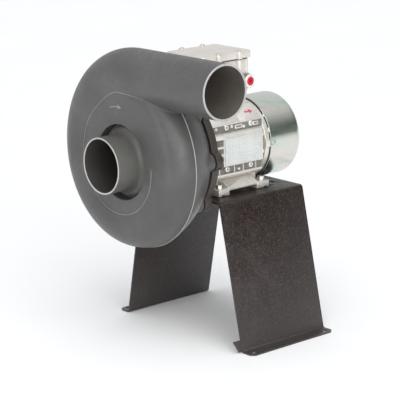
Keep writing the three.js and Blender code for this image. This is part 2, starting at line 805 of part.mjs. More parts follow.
function makeAdaptor() {
  const { front, back, radius, boreRadius, lobeRadius, rim, web, hub, rib, lobes } = adaptor;
  const plate = revolve([
    [boreRadius, front], [radius - 1.5, front], [radius, front + 1.5], [radius, back - 1.5],
    [radius - 1.5, back], [radius - rim, back], [radius - rim, front + web], [hub, front + web],
    [hub, back], [boreRadius, back],
  ], 36);
  const ears = lobePlaces().map(([x, z]) => postY(lobeRadius, x, z, front, back, 12));
  const ribs = Array.from({ length: lobes }, (_, i) => {
    const bar = block(hub - 1, radius - rim + 1, front + 1, back - 1, -rib / 2, rib / 2);
    return bar.rotateY((2 * Math.PI * i) / lobes);
  });
  const holes = [
    ...lobePlaces().map(([x, z]) => postY(casingScrew.radius + GAP, x, z, front - 1, back + 1, 8)),
    ...flangeScrewPlaces().map(([x, z]) => postY(flangeScrew.radius + GAP, x, z, front - 1, back + 1, 8)),
    ...flangeScrewPlaces().map(([x, z]) => postY(
      flangeScrew.headRadius + GAP, x, z, front - 1, front + flangeScrew.headHeight + GAP, 8,
    )),
  ];
  add(shaftGroup, 'motor_adaptor', cut(join(plate, ...ears, ...ribs), ...holes), materials.adaptor);
}

function makeCasingScrews() {
  lobePlaces().forEach(([x, z], i) => {
    const seat = adaptor.back + GAP;
    const screw = join(
      postY(casingScrew.radius, x, z, casing.back + GAP - casingScrew.depth / 2, seat + 0.5, 8),
      postY(casingScrew.headRadius, x, z, seat, seat + casingScrew.headHeight, 6),
    );
    add(shaftGroup, `casing_screw_${i + 1}`, screw, materials.steel);
  });
}

function makeFlangeScrews() {
  flangeScrewPlaces().forEach(([x, z], i) => {
    const seat = adaptor.front + flangeScrew.headHeight;
    const screw = join(
      postY(flangeScrew.radius, x, z, seat - 0.5, adaptor.back + 6, 8),
      postY(flangeScrew.headRadius, x, z, adaptor.front, seat, 8),
    );
    add(shaftGroup, `flange_screw_${i + 1}`, screw, materials.steel);
  });
}

// ---------------------------------------------------------------- volute casing
function ease(value, start, end) {
  return THREE.MathUtils.smoothstep(value, start, end);
}

// Radius of the scroll at the seam; travel is the angle in degrees from the right-hand
// side, clockwise as seen from the inlet.
function scrollRadius(travel) {
  const { radiusRight, radiusBottom, radiusLeft, radiusTop } = casing;
  const knots = [radiusRight, radiusRight, radiusBottom, radiusLeft, radiusTop];
  const place = THREE.MathUtils.clamp(travel / 90 + 1, 0, 4);
  const i = Math.min(Math.floor(place), 3);
  const t = place - i;
  const slope = (k) => (k <= 0 || k >= 4 ? 0 : (knots[k + 1] - knots[k - 1]) / 2);
  const [h1, h2] = [t * t * (3 - 2 * t), t * t * (t - 1)];
  return knots[i] * (1 - h1) + knots[i + 1] * h1 + slope(i) * t * (1 - t) ** 2 + slope(i + 1) * h2;
}

// One closed section of the scroll, made smaller all round by inset.
function scrollSection(travel, inset) {
  const { front, seam, back, outletRadius, shoulder, backShoulder, ridgeStart } = casing;
  const outer = scrollRadius(travel);
  const plate = seam - front;
  const rise = Math.max((outletRadius - plate) * ease(travel, -5, 60), 0.05);
  const crest = outer - THREE.MathUtils.lerp(shoulder, outletRadius, ease(travel, 0, 270));
  const backCrest = outer - THREE.MathUtils.lerp(backShoulder, outletRadius, ease(travel, 30, 230));
  const depth = THREE.MathUtils.lerp(back - seam, outletRadius, ease(travel, 30, 230)) - inset;
  const roundness = THREE.MathUtils.lerp(casing.backRoundness, 2, ease(travel, 30, 230));
  const channel = Math.sqrt(outletRadius ** 2 - plate ** 2);
  const ridge = THREE.MathUtils.lerp(ridgeStart, casing.radiusTop - outletRadius - channel,
    THREE.MathUtils.clamp(travel / 270, 0, 1));
  const frontDepth = plate + rise - inset;
  const flank = Math.acos((plate - inset) / frontDepth);
  const points = [[wellFloorRadius, front + inset]];
  for (let i = 0; i <= 3; i += 1) {
    const angle = flank * (1 - i / 3);
    const radius = crest - (crest - ridge) * (Math.sin(angle) / Math.sin(flank));
    points.push([radius, seam - frontDepth * Math.cos(angle)]);
  }
  for (let i = 1; i <= QUARTER; i += 1) {
    const [across, along] = polar(1, 90 - (90 * i) / QUARTER);
    points.push([crest + (outer - inset - crest) * across, seam - frontDepth * along]);
  }
  for (let i = 1; i <= QUARTER; i += 1) {
    const [across, along] = polar(1, (90 * i) / QUARTER).map((part) => Math.max(part, 0) ** (2 / roundness));
    points.push([backCrest + (outer - inset - backCrest) * across, seam + depth * along]);
  }
  points.push([wellFloorRadius, seam + depth]);
  return points;
}

function scrollStretch(first, last, inset) {
  const steps = Math.round((last - first) / 11);
  const rings = Array.from({ length: steps + 1 }, (_, i) => {
    const travel = THREE.MathUtils.lerp(first, last, i / steps);
    const [cos, sin] = polar(1, -travel);
    return scrollSection(travel, inset).map(([r, y]) => new THREE.Vector3(r * cos, y, r * sin));
  });
  const outline = (points) => points.map((point) => new THREE.Vector2(Math.hypot(point.x, point.z), point.y));
  return loft(rings, outline);
}

// The scroll is swept in three stretches, because its end overlaps its own start.
function scrollBody(inset) {
  return join(scrollStretch(-100, 90, inset), scrollStretch(90, 180, inset), scrollStretch(180, 272, inset));
}

function outletTube(radius, x0, x1) {
  return postX(radius, x0, x1, casing.seam, outletZ, 4 * QUARTER);
}

function casingOutside() {
  const { back, bossDepth } = casing;
  const bossRadius = adaptor.lobeRadius - 1;
  const bosses = lobePlaces().map(([x, z]) => postY(bossRadius, x, z, back - bossDepth, back, 12));
  const pads = lobePlaces().map(([x, z]) => postY(6, x, z, back - 2, adaptor.front - GAP, 8));
  return join(
    scrollBody(0),
    disc(casing.hubRadius, casing.front + 0.1, back, 36),
    outletTube(casing.outletRadius, 2, casing.outletX),
    ...bosses,
    ...pads,
  );
}

function casingCavity() {
  const { hubRadius, front, back, wall, outletRadius, outletX } = casing;
  return join(
    scrollBody(wall),
    disc(hubRadius - wall, front + wall + 0.1, back - wall, 36),
    outletTube(outletRadius - wall, 2, outletX + 1),
  );
}

function wellRing() {
  const mouth = casing.front;
  const floor = mouth + well.depth;
  return revolve([
    [wellRadius, mouth], [wellRadius + well.wall, mouth], [wellRadius + well.wall, floor + well.wall],
    [wellFloorRadius, floor + well.wall], [wellFloorRadius, floor], [wellRadius, floor],
  ], 32);
}

function makeCasing() {
  const { seam, wall, back, shaftHole } = casing;
  const far = 400;
  const mouth = disc(wellRadius, casing.front - 20, casing.front + well.depth, 32);
  const hollow = cut(casingOutside(), casingCavity());
  const frontHalf = common(hollow, block(-far, far, -far, seam - GAP / 2, -far, far));
  const backHalf = common(hollow, block(-far, far, seam + GAP / 2, far, -far, far));
  add(shaftGroup, 'volute_front_shell', join(cut(frontHalf, mouth), wellRing()), materials.casing);
  const tools = [
    disc(shaftHole, back - wall - 2, back + 2, 32),
    ...lobePlaces().map(([x, z]) => postY(
      casingScrew.radius + GAP, x, z, back - casingScrew.depth / 2, adaptor.front + 1, 8,
    )),
  ];
  add(shaftGroup, 'volute_back_shell', cut(backHalf, ...tools), materials.casing);
}

function makeSpigot() {
  const { radius, wall, rim, collar, tail, flare } = spigot;
  const seat = casing.front + well.depth - GAP;
  const face = seat - collar;
  const inner = radius - wall;
  const body = revolve([
    [inner, rim], [radius - 0.6, rim], [radius, rim + 0.8], [radius, face - flare],
    [radius + flare * 0.3, face - flare * 0.3], [radius + flare, face], [collarRadius - 1, face],
    [collarRadius, face + 1], [collarRadius, seat], [radius, seat], [radius, tail], [inner, tail],
  ], 32);
  add(shaftGroup, 'inlet_spigot', body, materials.spigot);
}

function makeSeal() {
  const { back, wall, shaftHole } = casing;
  const seal = revolve([
    [shaft.driveRadius + 0.6, back - wall], [shaftHole - GAP, back - wall], [shaftHole - GAP, back + 1],
    [shaft.driveRadius + 3, back + 1], [shaft.driveRadius + 0.6, back - 1],
  ], 36);
  add(shaftGroup, 'shaft_seal', seal, materials.rubber);
}

// ---------------------------------------------------------------- rotor: shaft, cores, impeller, fan
function makeShaft() {
  const { driveRadius, seatRadius, coreRadius, front, rear } = shaft;
  const frontSeat = motor.frameFront - GAP - 2;
  const rearSeat = frameBack + GAP;
  const body = revolve([
    [0, front], [driveRadius - 1, front], [driveRadius, front + 1],
    [driveRadius, frontSeat - bearing.width - 2],
    [seatRadius, frontSeat - bearing.width - 2], [seatRadius, frontSeat + GAP], [coreRadius, frontSeat + 2],
    [coreRadius, rearSeat - 2], [seatRadius, rearSeat - GAP], [seatRadius, rearSeat + bearing.width + 2],
    [driveRadius, rearSeat + bearing.width + 2], [driveRadius, rear - 1], [driveRadius - 1, rear], [0, rear],
  ], 24);
  const thread = disc(hubBolt.radius + GAP, front - 1, front + hubBolt.depth + 2, 12);
  add(shaftGroup, 'motor_shaft', cut(body, thread), materials.steel);
}

function makeHub() {
  const { bore, hubFront, hubBack } = impeller;
  const sleeve = ring(shaft.driveRadius + GAP, bore - GAP, hubFront, hubBack);
  add(shaftGroup, 'impeller_hub', sleeve, materials.steel);
  const washerBack = hubFront - GAP;
  const washerFront = washerBack - hubBolt.washer;
  const washer = ring(hubBolt.radius + GAP, hubBolt.washerRadius, washerFront, washerBack);
  add(shaftGroup, 'hub_washer', washer, materials.steel);
  const seat = washerFront - GAP;
  const bolt = join(
    disc(hubBolt.radius, seat - 0.5, shaft.front + hubBolt.depth, 12),
    disc(hubBolt.headRadius, seat - hubBolt.headHeight, seat, 6),
  );
  add(shaftGroup, 'hub_bolt', bolt, materials.steel);
}

// A backward-curved blade: an arc of constant thickness from the eye to the rim.
function bladeOutline() {
  const { bladeInset, radius, blade } = impeller;
  const sweep = 38;
  const steps = 3;
  const side = (offset) => Array.from({ length: steps + 1 }, (_, i) => {
    const t = i / steps;
    const reach = THREE.MathUtils.lerp(eyeRadius - bladeInset, radius - 1, t);
    const [x, z] = polar(reach, -sweep * t ** 1.2);
    const [dx, dz] = polar(offset, 90 - sweep * t - 20);
    return [x + dx, z + dz];
  });
  return shapeOf([...side(-blade / 2), ...side(blade / 2).reverse()]);
}

// The impeller is moulded as a back plate with its vanes, and a front shroud ring.
function makeImpeller() {
  const { radius, back, plate, eyeFront, rimFront, blades } = impeller;
  const { hubRadius, bore, hubFront, hubBack, shroudLip } = impeller;
  const plateFront = back - plate;
  const base = revolve([
    [bore, hubFront], [hubRadius, hubFront], [hubRadius + 5, plateFront], [radius, plateFront],
    [radius, back], [hubRadius, back], [hubRadius - 2, hubBack], [bore, hubBack],
  ], 32);
  const channel = revolve([
    [bore, plateFront + 1], [radius - 0.5, plateFront + 1], [radius - 0.5, rimFront + GAP],
    [eyeRadius, eyeFront + shroudLip + GAP], [eyeRadius - 1, eyeFront + shroudLip + GAP],
    [eyeRadius - 1, plateFront - 20], [bore, plateFront - 20],
  ], 32);
  const outline = bladeOutline();
  const vanes = Array.from({ length: blades }, (_, i) => {
    const vane = alongY(outline, eyeFront, back).rotateY((2 * Math.PI * i) / blades);
    return common(vane, channel);
  });
  add(shaftGroup, 'impeller', join(base, ...vanes), materials.impeller);
}

function makeShroud() {
  const { radius, eyeFront, rimFront, shroud, shroudLip } = impeller;
  const cover = revolve([
    [eyeRadius, eyeFront], [eyeRadius + shroud, eyeFront], [eyeRadius + shroud, eyeFront + shroudLip - 2],
    [radius, rimFront - shroud], [radius, rimFront], [eyeRadius, eyeFront + shroudLip],
  ], 32);
  add(shaftGroup, 'impeller_shroud', cover, materials.impeller);
}

function makeRotorCore() {
  const { radius, front, length, endRing } = rotorCore;
  const back = front + length;
  const inner = shaft.coreRadius + GAP;
  const core = revolve([
    [inner, front], [inner + 6, front], [inner + 6, front - endRing], [radius - 3, front - endRing],
    [radius - 3, front], [radius, front], [radius, back], [radius - 3, back],
    [radius - 3, back + endRing], [inner + 6, back + endRing], [inner + 6, back], [inner, back],
  ], 28);
  add(shaftGroup, 'rotor_core', core, materials.core);
}

function makeCoolingFan() {
  const { hubRadius, front, back, radius, blades, blade, plate } = fan;
  const hubBack = shaft.rear - 4;
  const hub = ring(shaft.driveRadius + GAP, hubRadius, front, hubBack);
  const backPlate = ring(hubRadius - 1, radius * 0.72, front, front + plate, 28);
  const vanes = Array.from({ length: blades }, (_, i) => {
    const vane = block(hubRadius - 1.5, radius, front, back, -blade / 2, blade / 2);
    return vane.rotateY((2 * Math.PI * i) / blades);
  });
  add(shaftGroup, 'cooling_fan', join(hub, backPlate, ...vanes), materials.fanPlastic);
  const circlip = ring(shaft.driveRadius + GAP, 9.5, hubBack + GAP, hubBack + 1.3, 20);
  add(shaftGroup, 'fan_circlip', circlip, materials.steel);
}

// ---------------------------------------------------------------- the whole blower
makePedestal();
makeFoot('right_motor_foot', 1);
makeFoot('left_motor_foot', -1);
[-1, 1].flatMap((side) => boltYs.map((y) => [side * feet.boltX, y])).forEach(([x, y], i) => {
  makeFootBolt(i + 1, x, y);
});
makeHousing();
makeDriveShield();
makeRearShield();
makeBearings();
makeStator();
makeNameplate();
makeCowl();
makeCowlScrews();
makeTerminalBox();
makeGasket();
makeLid();
makeTerminalBoard();
makeGland();
makeAdaptor();
makeCasingScrews();
makeFlangeScrews();
makeCasing();
makeSpigot();
makeSeal();
makeShaft();
makeHub();
makeImpeller();
makeShroud();
makeRotorCore();
makeCoolingFan();

// The origin is at the bottom centre of the whole object's box.
const whole = new THREE.Box3().setFromObject(assembly);
assembly.position.set(-(whole.min.x + whole.max.x) / 2, -(whole.min.y + whole.max.y) / 2, -whole.min.z);

export default assembly;
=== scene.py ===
"""Looks of a direct-drive centrifugal blower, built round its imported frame."""

import json
import math

import bmesh
import bpy
from mathutils import Matrix, Vector
from mathutils.bvhtree import BVHTree


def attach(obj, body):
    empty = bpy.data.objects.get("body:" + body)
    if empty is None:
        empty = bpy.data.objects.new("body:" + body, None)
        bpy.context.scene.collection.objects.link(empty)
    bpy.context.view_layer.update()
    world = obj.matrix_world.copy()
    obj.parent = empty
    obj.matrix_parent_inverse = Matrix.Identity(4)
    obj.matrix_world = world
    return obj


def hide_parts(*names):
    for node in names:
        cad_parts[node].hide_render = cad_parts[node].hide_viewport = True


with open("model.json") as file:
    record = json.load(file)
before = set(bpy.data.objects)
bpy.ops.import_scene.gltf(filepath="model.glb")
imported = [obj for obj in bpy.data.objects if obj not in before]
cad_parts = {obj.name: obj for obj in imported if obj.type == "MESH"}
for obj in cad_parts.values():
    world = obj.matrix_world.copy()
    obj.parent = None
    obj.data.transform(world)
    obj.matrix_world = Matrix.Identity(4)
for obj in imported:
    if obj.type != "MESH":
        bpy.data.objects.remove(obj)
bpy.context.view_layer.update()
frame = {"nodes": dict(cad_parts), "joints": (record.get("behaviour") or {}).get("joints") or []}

# The pieces are built in millimetres round the shaft axis, with y = 0 at the pedestal's front edge.
AXIS = Vector(frame["joints"][0]["pos_m"])
PLACE = Matrix.Translation(AXIS) @ Matrix.Scale(0.001, 4)
FLOOR = -AXIS.z * 1000
FIXED = "stationary"
ROTOR = "rotor"

# ---------------------------------------------------------------- sizes, as in the CAD
FRONT, SEAM, BACK = -119.0, -81.3, -22.0
WALL = 3.5
HUB_RADIUS, SCROLL_INNER = 102.0, 47.0
SCROLL = (139.0, 144.0, 160.5, 176.0)  # at the right, bottom, left and top
OUTLET_RADIUS, OUTLET_Z, OUTLET_X = 43.2, 132.8, 208.0
SHOULDER, BACK_SHOULDER = 32.0, 37.0
WELL_RADIUS, WELL_FLOOR = 60.0, -103.0
PED_TOP = -71.3
BOX_BOTTOM, BOX_TOP = 66.3, 140.3
BOX_FRONT, BOX_BACK, BOX_HALF = 17.0, 117.0, 43.0
BOX_CORNER, LID_LOW, LID_HEIGHT = 9.0, BOX_TOP + 1.8, 11.5
GLAND = (103.0, 106.5)  # y and z of the cable gland
COLUMNS = [(side * 44.4, y) for side in (-1, 1) for y in (48, 92)]
BOLT_YS = (36, 126)
BOLTS = [(side * 56, y) for side in (-1, 1) for y in BOLT_YS]
LOBE_CIRCLE, LOBE_RADIUS = 101.0, 15.0
BACK_ROUNDNESS = 1.25  # 1 is a straight cone behind the seam and 2 is an ellipse
SPIGOT_BORE, SPIGOT_RADIUS, SPIGOT_RIM, SPIGOT_TAIL = 42.5, 45.1, -158.0, -88.0
ADAPTOR_RADIUS, ADAPTOR_FRONT, ADAPTOR_BACK = 105.0, -19.2, -6.0
MOTOR_BORE, FRAME_RADIUS, FRAME_FRONT, FRAME_BACK = 50.0, 57.5, 14.3, 128.0
COWL_RADIUS, COWL_FRONT, COWL_BACK, COWL_SHEET, COWL_SCREW_Y = 69.0, 138.5, 208.0, 1.5, 143.5
PED_DEPTH, PED_HALF, LEG_HALF, FLANGE_END, SHEET_HALF, BEND = 180.0, 96.5, 145.5, 170.5, 1.25, 4.5
WHEEL_RADIUS, WHEEL_BACK, EYE_RADIUS, EYE_FRONT = 80.0, -37.0, 46.5, -86.0
THIRDS = (0, 120, 240)
DIAGONALS = (45, 135, 225, 315)


def polar(radius, degrees):
    return radius * math.cos(math.radians(degrees)), radius * math.sin(math.radians(degrees))


LOBES = [polar(LOBE_CIRCLE, 45 * i) for i in range(8)]


# ---------------------------------------------------------------- geometry helpers
def new_object(vertices, faces):
    mesh = bpy.data.meshes.new("piece")
    mesh.from_pydata([tuple(v) for v in vertices], [], faces)
    work = bmesh.new()
    work.from_mesh(mesh)
    bmesh.ops.remove_doubles(work, verts=work.verts, dist=1e-4)
    bmesh.ops.recalc_face_normals(work, faces=work.faces)
    work.to_mesh(mesh)
    work.free()
    obj = bpy.data.objects.new("piece", mesh)
    bpy.context.scene.collection.objects.link(obj)
    return obj


def settle(obj):
    """Applies the object's modifiers to its mesh."""
    graph = bpy.context.evaluated_depsgraph_get()
    mesh = bpy.data.meshes.new_from_object(obj.evaluated_get(graph))
    obj.modifiers.clear()
    old = obj.data
    obj.data = mesh
    bpy.data.meshes.remove(old)
    return obj


def discard(obj):
    mesh = obj.data
    bpy.data.objects.remove(obj)
    bpy.data.meshes.remove(mesh)


def combine(obj, others, operation):
    for other in others:
        modifier = obj.modifiers.new("combine", "BOOLEAN")
        modifier.operation = operation
        modifier.solver = "MANIFOLD"
        modifier.object = other
    settle(obj)
    for other in others:
        discard(other)
    return obj


def join(obj, *others):
    return combine(obj, others, "UNION")


def cut(obj, *others):
    return combine(obj, others, "DIFFERENCE")


def common(obj, *others):
    return combine(obj, others, "INTERSECT")


def copy_of(obj):
    twin = obj.copy()
    twin.data = obj.data.copy()
    bpy.context.scene.collection.objects.link(twin)
    return twin


def soften(obj, width, segments=2, angle=50):
    modifier = obj.modifiers.new("soften", "BEVEL")
    modifier.width = width
    modifier.segments = segments
    modifier.limit_method = "ANGLE"
    modifier.angle_limit = math.radians(angle)
    modifier.use_clamp_overlap = True
    return settle(obj)


def rounded(points, steps=4, closed=True):
    """Replaces each corner that has a third value, its radius, by an arc."""
    result = []
    count = len(points)
    for i, point in enumerate(points):
        end = not closed and i in (0, count - 1)
        if len(point) < 3 or end:
            result.append((point[0], point[1]))
            continue
        here = Vector(point[:2])
        before = Vector(points[i - 1][:2]) - here
        after = Vector(points[(i + 1) % count][:2]) - here
        half = before.angle(after) / 2
        reach = min(point[2] / math.tan(half), before.length * 0.49, after.length * 0.49)
        radius = reach * math.tan(half)
        middle = (before.normalized() + after.normalized()).normalized()
        centre = here + middle * (radius / math.sin(half))
        first = here + before.normalized() * reach - centre
        last = here + after.normalized() * reach - centre
        for k in range(steps + 1):
            result.append(tuple(centre + first.lerp(last, k / steps).normalized() * radius))
    return result


def lathe(profile, segments=96):
    """Turns a (radius, y) outline round the shaft axis. One that starts off the axis is closed on itself."""
    closed = profile[0][0] > 1e-6
    count = len(profile)
    vertices = []
    for radius, y in profile:
        for k in range(segments):
            angle = 2 * math.pi * k / segments
            vertices.append((radius * math.cos(angle), y, radius * math.sin(angle)))
    faces = []
    for i in range(count if closed else count - 1):
        a, b = i * segments, ((i + 1) % count) * segments
        for k in range(segments):
            m = (k + 1) % segments
            faces.append((a + k, a + m, b + m, b + k))
    return new_object(vertices, faces)


AIM = {
    "x": lambda u, v, w: (w, u, v),
    "y": lambda u, v, w: (u, w, v),
    "z": lambda u, v, w: (u, v, w),
}


def prism(outline, low, high, axis):
    """Extrudes an outline along an axis; its two values are the other two axes in X, Y, Z order."""
    count = len(outline)
    aim = AIM[axis]
    vertices = [aim(u, v, low) for u, v in outline] + [aim(u, v, high) for u, v in outline]
    faces = [tuple(range(count)), tuple(range(count, 2 * count))]
    faces += [(i, (i + 1) % count, count + (i + 1) % count, count + i) for i in range(count)]
    return new_object(vertices, faces)


def slab(x0, x1, y0, y1, z0, z1, bevel=0.0, segments=2):
    obj = prism([(x0, y0), (x1, y0), (x1, y1), (x0, y1)], z0, z1, "z")
    return soften(obj, bevel, segments) if bevel else obj


def placed(obj, axis, centre):
    """Turns a piece made along y to lie along an axis, and moves it to its centre line."""
    turn = {"x": Matrix.Rotation(-math.pi / 2, 4, "Z"), "y": Matrix.Identity(4),
            "z": Matrix.Rotation(math.pi / 2, 4, "X")}[axis]
    obj.data.transform(Matrix.Translation(AIM[axis](*centre, 0)) @ turn)
    return obj


def rod(axis, radius, low, high, centre=(0, 0), segments=40, edge=0.4):
    """A round bar with eased ends along an axis."""
    edge = min(edge, radius * 0.4, (high - low) * 0.4)
    profile = rounded([(0, low), (radius, low, edge), (radius, high, edge), (0, high)], 3, False)
    return placed(lathe(profile, segments), axis, centre)


def rods(axis, radius, low, high, centres, segments, edge=0.0):
    return [rod(axis, radius, low, high, centre, segments, edge) for centre in centres]


def turned(obj, degrees, axis="Y"):
    obj.data.transform(Matrix.Rotation(math.radians(degrees), 4, axis))
    return obj


def mirror(side):
    """Gives the two x values of a span on one side of the shaft, the lower one first."""
    return lambda near, far: (near, far) if side > 0 else (-far, -near)


def rounded_box(x0, x1, y0, y1, radius, steps):
    return rounded([(x0, y0, radius), (x1, y0, radius), (x1, y1, radius), (x0, y1, radius)], steps)


def hexagon(radius, low, high, centre, axis):
    """A hexagon head whose corners are cut back by a cone, as on a real bolt."""
    obj = prism([polar(radius, 60 * i) for i in range(6)], low, high, "y")
    bevel = radius * 0.12
    shape = rounded([(0, low), (radius * 0.9, low), (radius * 1.02, low + bevel),
                     (radius * 1.02, high - bevel), (radius * 0.9, high), (0, high)], 1, False)
    return placed(common(obj, lathe(shape, 48)), axis, centre)


def loft(rings):
    """Joins equal closed rings of points into one capped solid."""
    size = len(rings[0])
    last = (len(rings) - 1) * size
    vertices = [point for ring in rings for point in ring]
    faces = [tuple(range(size)), tuple(range(last, last + size))]
    for i in range(len(rings) - 1):
        for j in range(size):
            a, b = i * size + j, i * size + (j + 1) % size
            faces.append((a, b, b + size, a + size))
    return new_object(vertices, faces)


def oval(point, first, second, wide, tall):
    """A ring of ten points round a place, tall along first and wide along second."""
    angles = [2 * math.pi * k / 10 for k in range(10)]
    return [point + first * (math.cos(a) * tall) + second * (math.sin(a) * wide) for a in angles]


def finish_piece(obj, name, finish, nodes=(), extra=(), body=FIXED, angle=32):
    """Moves a piece into the row frame in metres and hands it to the frame, with its finishes by name."""
    obj.name = name
    obj.data.name = name
    obj.data.transform(PLACE)
    order = [face.material_index for face in obj.data.polygons]
    obj.data.materials.clear()
    for one in (finish, *extra):
        obj.data.materials.append(FINISHES[one])
    obj.data.polygons.foreach_set("material_index", order)
    obj.data.shade_smooth()
    obj.data.set_sharp_from_angle(angle=math.radians(angle))
    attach(obj, body)
    if nodes:
        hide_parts(*nodes)


# ---------------------------------------------------------------- material helpers
class Nodes:
    """A small wrapper that adds nodes to a tree."""

    def __init__(self, tree, coordinates):
        self.tree = tree
        self.place = self.add("ShaderNodeTexCoord").outputs[coordinates]

    def add(self, kind, sockets=None, **settings):
        node = self.tree.nodes.new(kind)
        for key, value in settings.items():
            setattr(node, key, value)
        for key, value in (sockets or {}).items():
            self.put(node.inputs[key], value)
        return node

    def link(self, source, target):
        self.tree.links.new(source, target)

    def put(self, socket, value):
        """Sets a socket to a number, a colour or a vector, or links it to another node's output."""
        if isinstance(value, tuple):
            socket.default_value = (*value, 1) if len(socket.default_value) == 4 else value
        elif isinstance(value, (int, float)):
            socket.default_value = value
        else:
            self.link(value, socket)

    def axes(self):
        return self.add("ShaderNodeSeparateXYZ", {"Vector": self.place}).outputs

    def spread(self, value, low, high, out_low=0.0, out_high=1.0, **settings):
        sockets = {"Value": value, "From Min": low, "From Max": high, "To Min": out_low, "To Max": out_high}
        return self.add("ShaderNodeMapRange", sockets, **settings).outputs["Result"]

    def math(self, operation, first, second=0):
        return self.add("ShaderNodeMath", {0: first, 1: second}, operation=operation).outputs["Value"]

    def mix(self, factor, first, second):
        sockets = {"Factor": factor, "A": first, "B": second}
        return self.add("ShaderNodeMix", sockets, data_type="RGBA").outputs["Result"]


class Shader(Nodes):
    """The nodes of one new material."""

    def __init__(self, name):
        self.material = bpy.data.materials.new(name)
        self.material.use_nodes = True
        super().__init__(self.material.node_tree, "Object")
        self.surface = self.tree.nodes["Principled BSDF"]

    def stretched(self, x, y, z):
        return self.add("ShaderNodeMapping", {"Scale": (x, y, z), "Vector": self.place}).outputs["Vector"]

    def noise(self, scale, detail=3, roughness=0.55, vector=None, distortion=0):
        sockets = {"Scale": scale, "Detail": detail, "Roughness": roughness, "Distortion": distortion,
                   "Vector": vector or self.place}
        return self.add("ShaderNodeTexNoise", sockets).outputs["Fac"]

    def cells(self, scale):
        return self.add("ShaderNodeTexVoronoi", {"Scale": scale, "Vector": self.place}).outputs["Distance"]

    def wave(self, scale, distortion, **settings):
        sockets = {"Scale": scale, "Distortion": distortion, "Vector": self.place}
        return self.add("ShaderNodeTexWave", sockets, **settings).outputs["Fac"]

    def grid(self, x, y):
        return self.add("ShaderNodeCombineXYZ", {"X": x, "Y": y}).outputs["Vector"]

    def ramp(self, value, *stops):
        node = self.add("ShaderNodeValToRGB", {"Fac": value})
        points = node.color_ramp.elements
        while len(points) < len(stops):
            points.new(0.5)
        for point, (position, color) in zip(points, stops):
            point.position = position
            point.color = (*color, 1)
        return node.outputs["Color"]

    def color(self, source):
        self.link(source, self.surface.inputs["Base Color"])

    def gloss(self, source):
        self.link(source, self.surface.inputs["Roughness"])

    def bump(self, *layers):
        """Each layer is (height, strength, distance in metres)."""
        normal = None
        for height, strength, distance in layers:
            node = self.add("ShaderNodeBump", {"Strength": strength, "Distance": distance, "Height": height})
            if normal:
                self.link(normal, node.inputs["Normal"])
            normal = node.outputs["Normal"]
        self.link(normal, self.surface.inputs["Normal"])

    def set(self, **values):
        for key, value in values.items():
            self.surface.inputs[key.replace("_", " ")].default_value = value


def scaled(color, factor):
    return tuple(channel * factor for channel in color)


def moulded_plastic(name, tone, shine, dust=0.5):
    """Moulded polymer: cloudy tone, faint flow marks, fine scratches and pale dust specks."""
    s = Shader(name)
    clouds = s.noise(14, 4)
    mottle = s.noise(110)
    scratches = s.noise(60, 2, vector=s.stretched(1, 0.6, 9))
    base = s.ramp(clouds, (0.32, scaled(tone, 0.82)), (0.68, scaled(tone, 1.2)))
    base = s.mix(s.spread(mottle, 0.35, 0.75, 0, 0.35), base, scaled(tone, 0.78))
    base = s.mix(s.spread(scratches, 0.68, 0.8, 0, 0.3), base, scaled(tone, 1.7))
    s.color(s.mix(s.spread(s.cells(420), 0.16, 0.06, 0, dust), base, scaled(tone, 1.9)))
    s.gloss(s.math("ADD", s.spread(mottle, 0.3, 0.7, shine - 0.05, shine + 0.07),
                   s.spread(clouds, 0.3, 0.7, -0.03, 0.05)))
    s.bump((s.noise(900, 2), 0.08, 0.0004), (s.noise(35, 2), 0.12, 0.0012))
    return s.material


def cast_alloy(name, tone, metallic, shine):
    """Die-cast aluminium under a thin silver coat: grainy, with darker grime in its low spots."""
    s = Shader(name)
    grain = s.noise(650)
    grime = (tone[0] * 0.62, tone[1] * 0.57, tone[2] * 0.5)
    base = s.ramp(s.noise(22, 4), (0.3, scaled(tone, 0.9)), (0.7, scaled(tone, 1.07)))
    base = s.mix(s.spread(s.noise(75, 4, 0.65), 0.56, 0.78, 0, 0.45), base, grime)
    s.color(s.mix(s.spread(grain, 0.55, 0.75, 0, 0.25), base, scaled(tone, 1.15)))
    s.gloss(s.spread(grain, 0.3, 0.7, shine - 0.08, shine + 0.12))
    s.bump((grain, 0.22, 0.0005), (s.noise(120), 0.12, 0.0006))
    s.set(Metallic=metallic)
    return s.material


def plated_steel(name, tone, shine, brushed=(1, 1, 1)):
    s = Shader(name)
    grain = s.noise(500, vector=s.stretched(*brushed))
    base = s.ramp(s.noise(60), (0.3, scaled(tone, 0.85)), (0.7, tone))
    s.color(s.mix(s.spread(grain, 0.35, 0.7, 0, 0.5), base, scaled(tone, 0.75)))
    s.gloss(s.spread(grain, 0.3, 0.7, shine - 0.06, shine + 0.1))
    s.bump((grain, 0.12, 0.0003))
    s.set(Metallic=1.0)
    return s.material


def galvanised(name, green, pale, pink):
    """Zinc-plated sheet: cloudy green and pink passivation, faint spangle and drawn streaks along the shaft."""
    s = Shader(name)
    haze = s.noise(13, vector=s.stretched(1, 0.45, 1.3), distortion=0.8)
    streaks = s.noise(120, vector=s.stretched(1, 0.05, 1))
    base = s.ramp(haze, (0.34, green), (0.46, pale), (0.58, pink), (0.7, (0.40, 0.52, 0.45)))
    base = s.mix(s.spread(s.cells(110), 0.1, 0.7, 0, 0.14), base, (0.5, 0.56, 0.53))
    s.color(s.mix(s.spread(streaks, 0.45, 0.75, 0, 0.2), base, (0.45, 0.5, 0.47)))
    s.gloss(s.math("ADD", s.spread(haze, 0.3, 0.7, 0.17, 0.28), s.spread(streaks, 0.3, 0.7, -0.03, 0.05)))
    s.bump((s.noise(16, 2), 0.25, 0.002), (streaks, 0.04, 0.0002))
    s.set(Metallic=1.0)
    return s.material


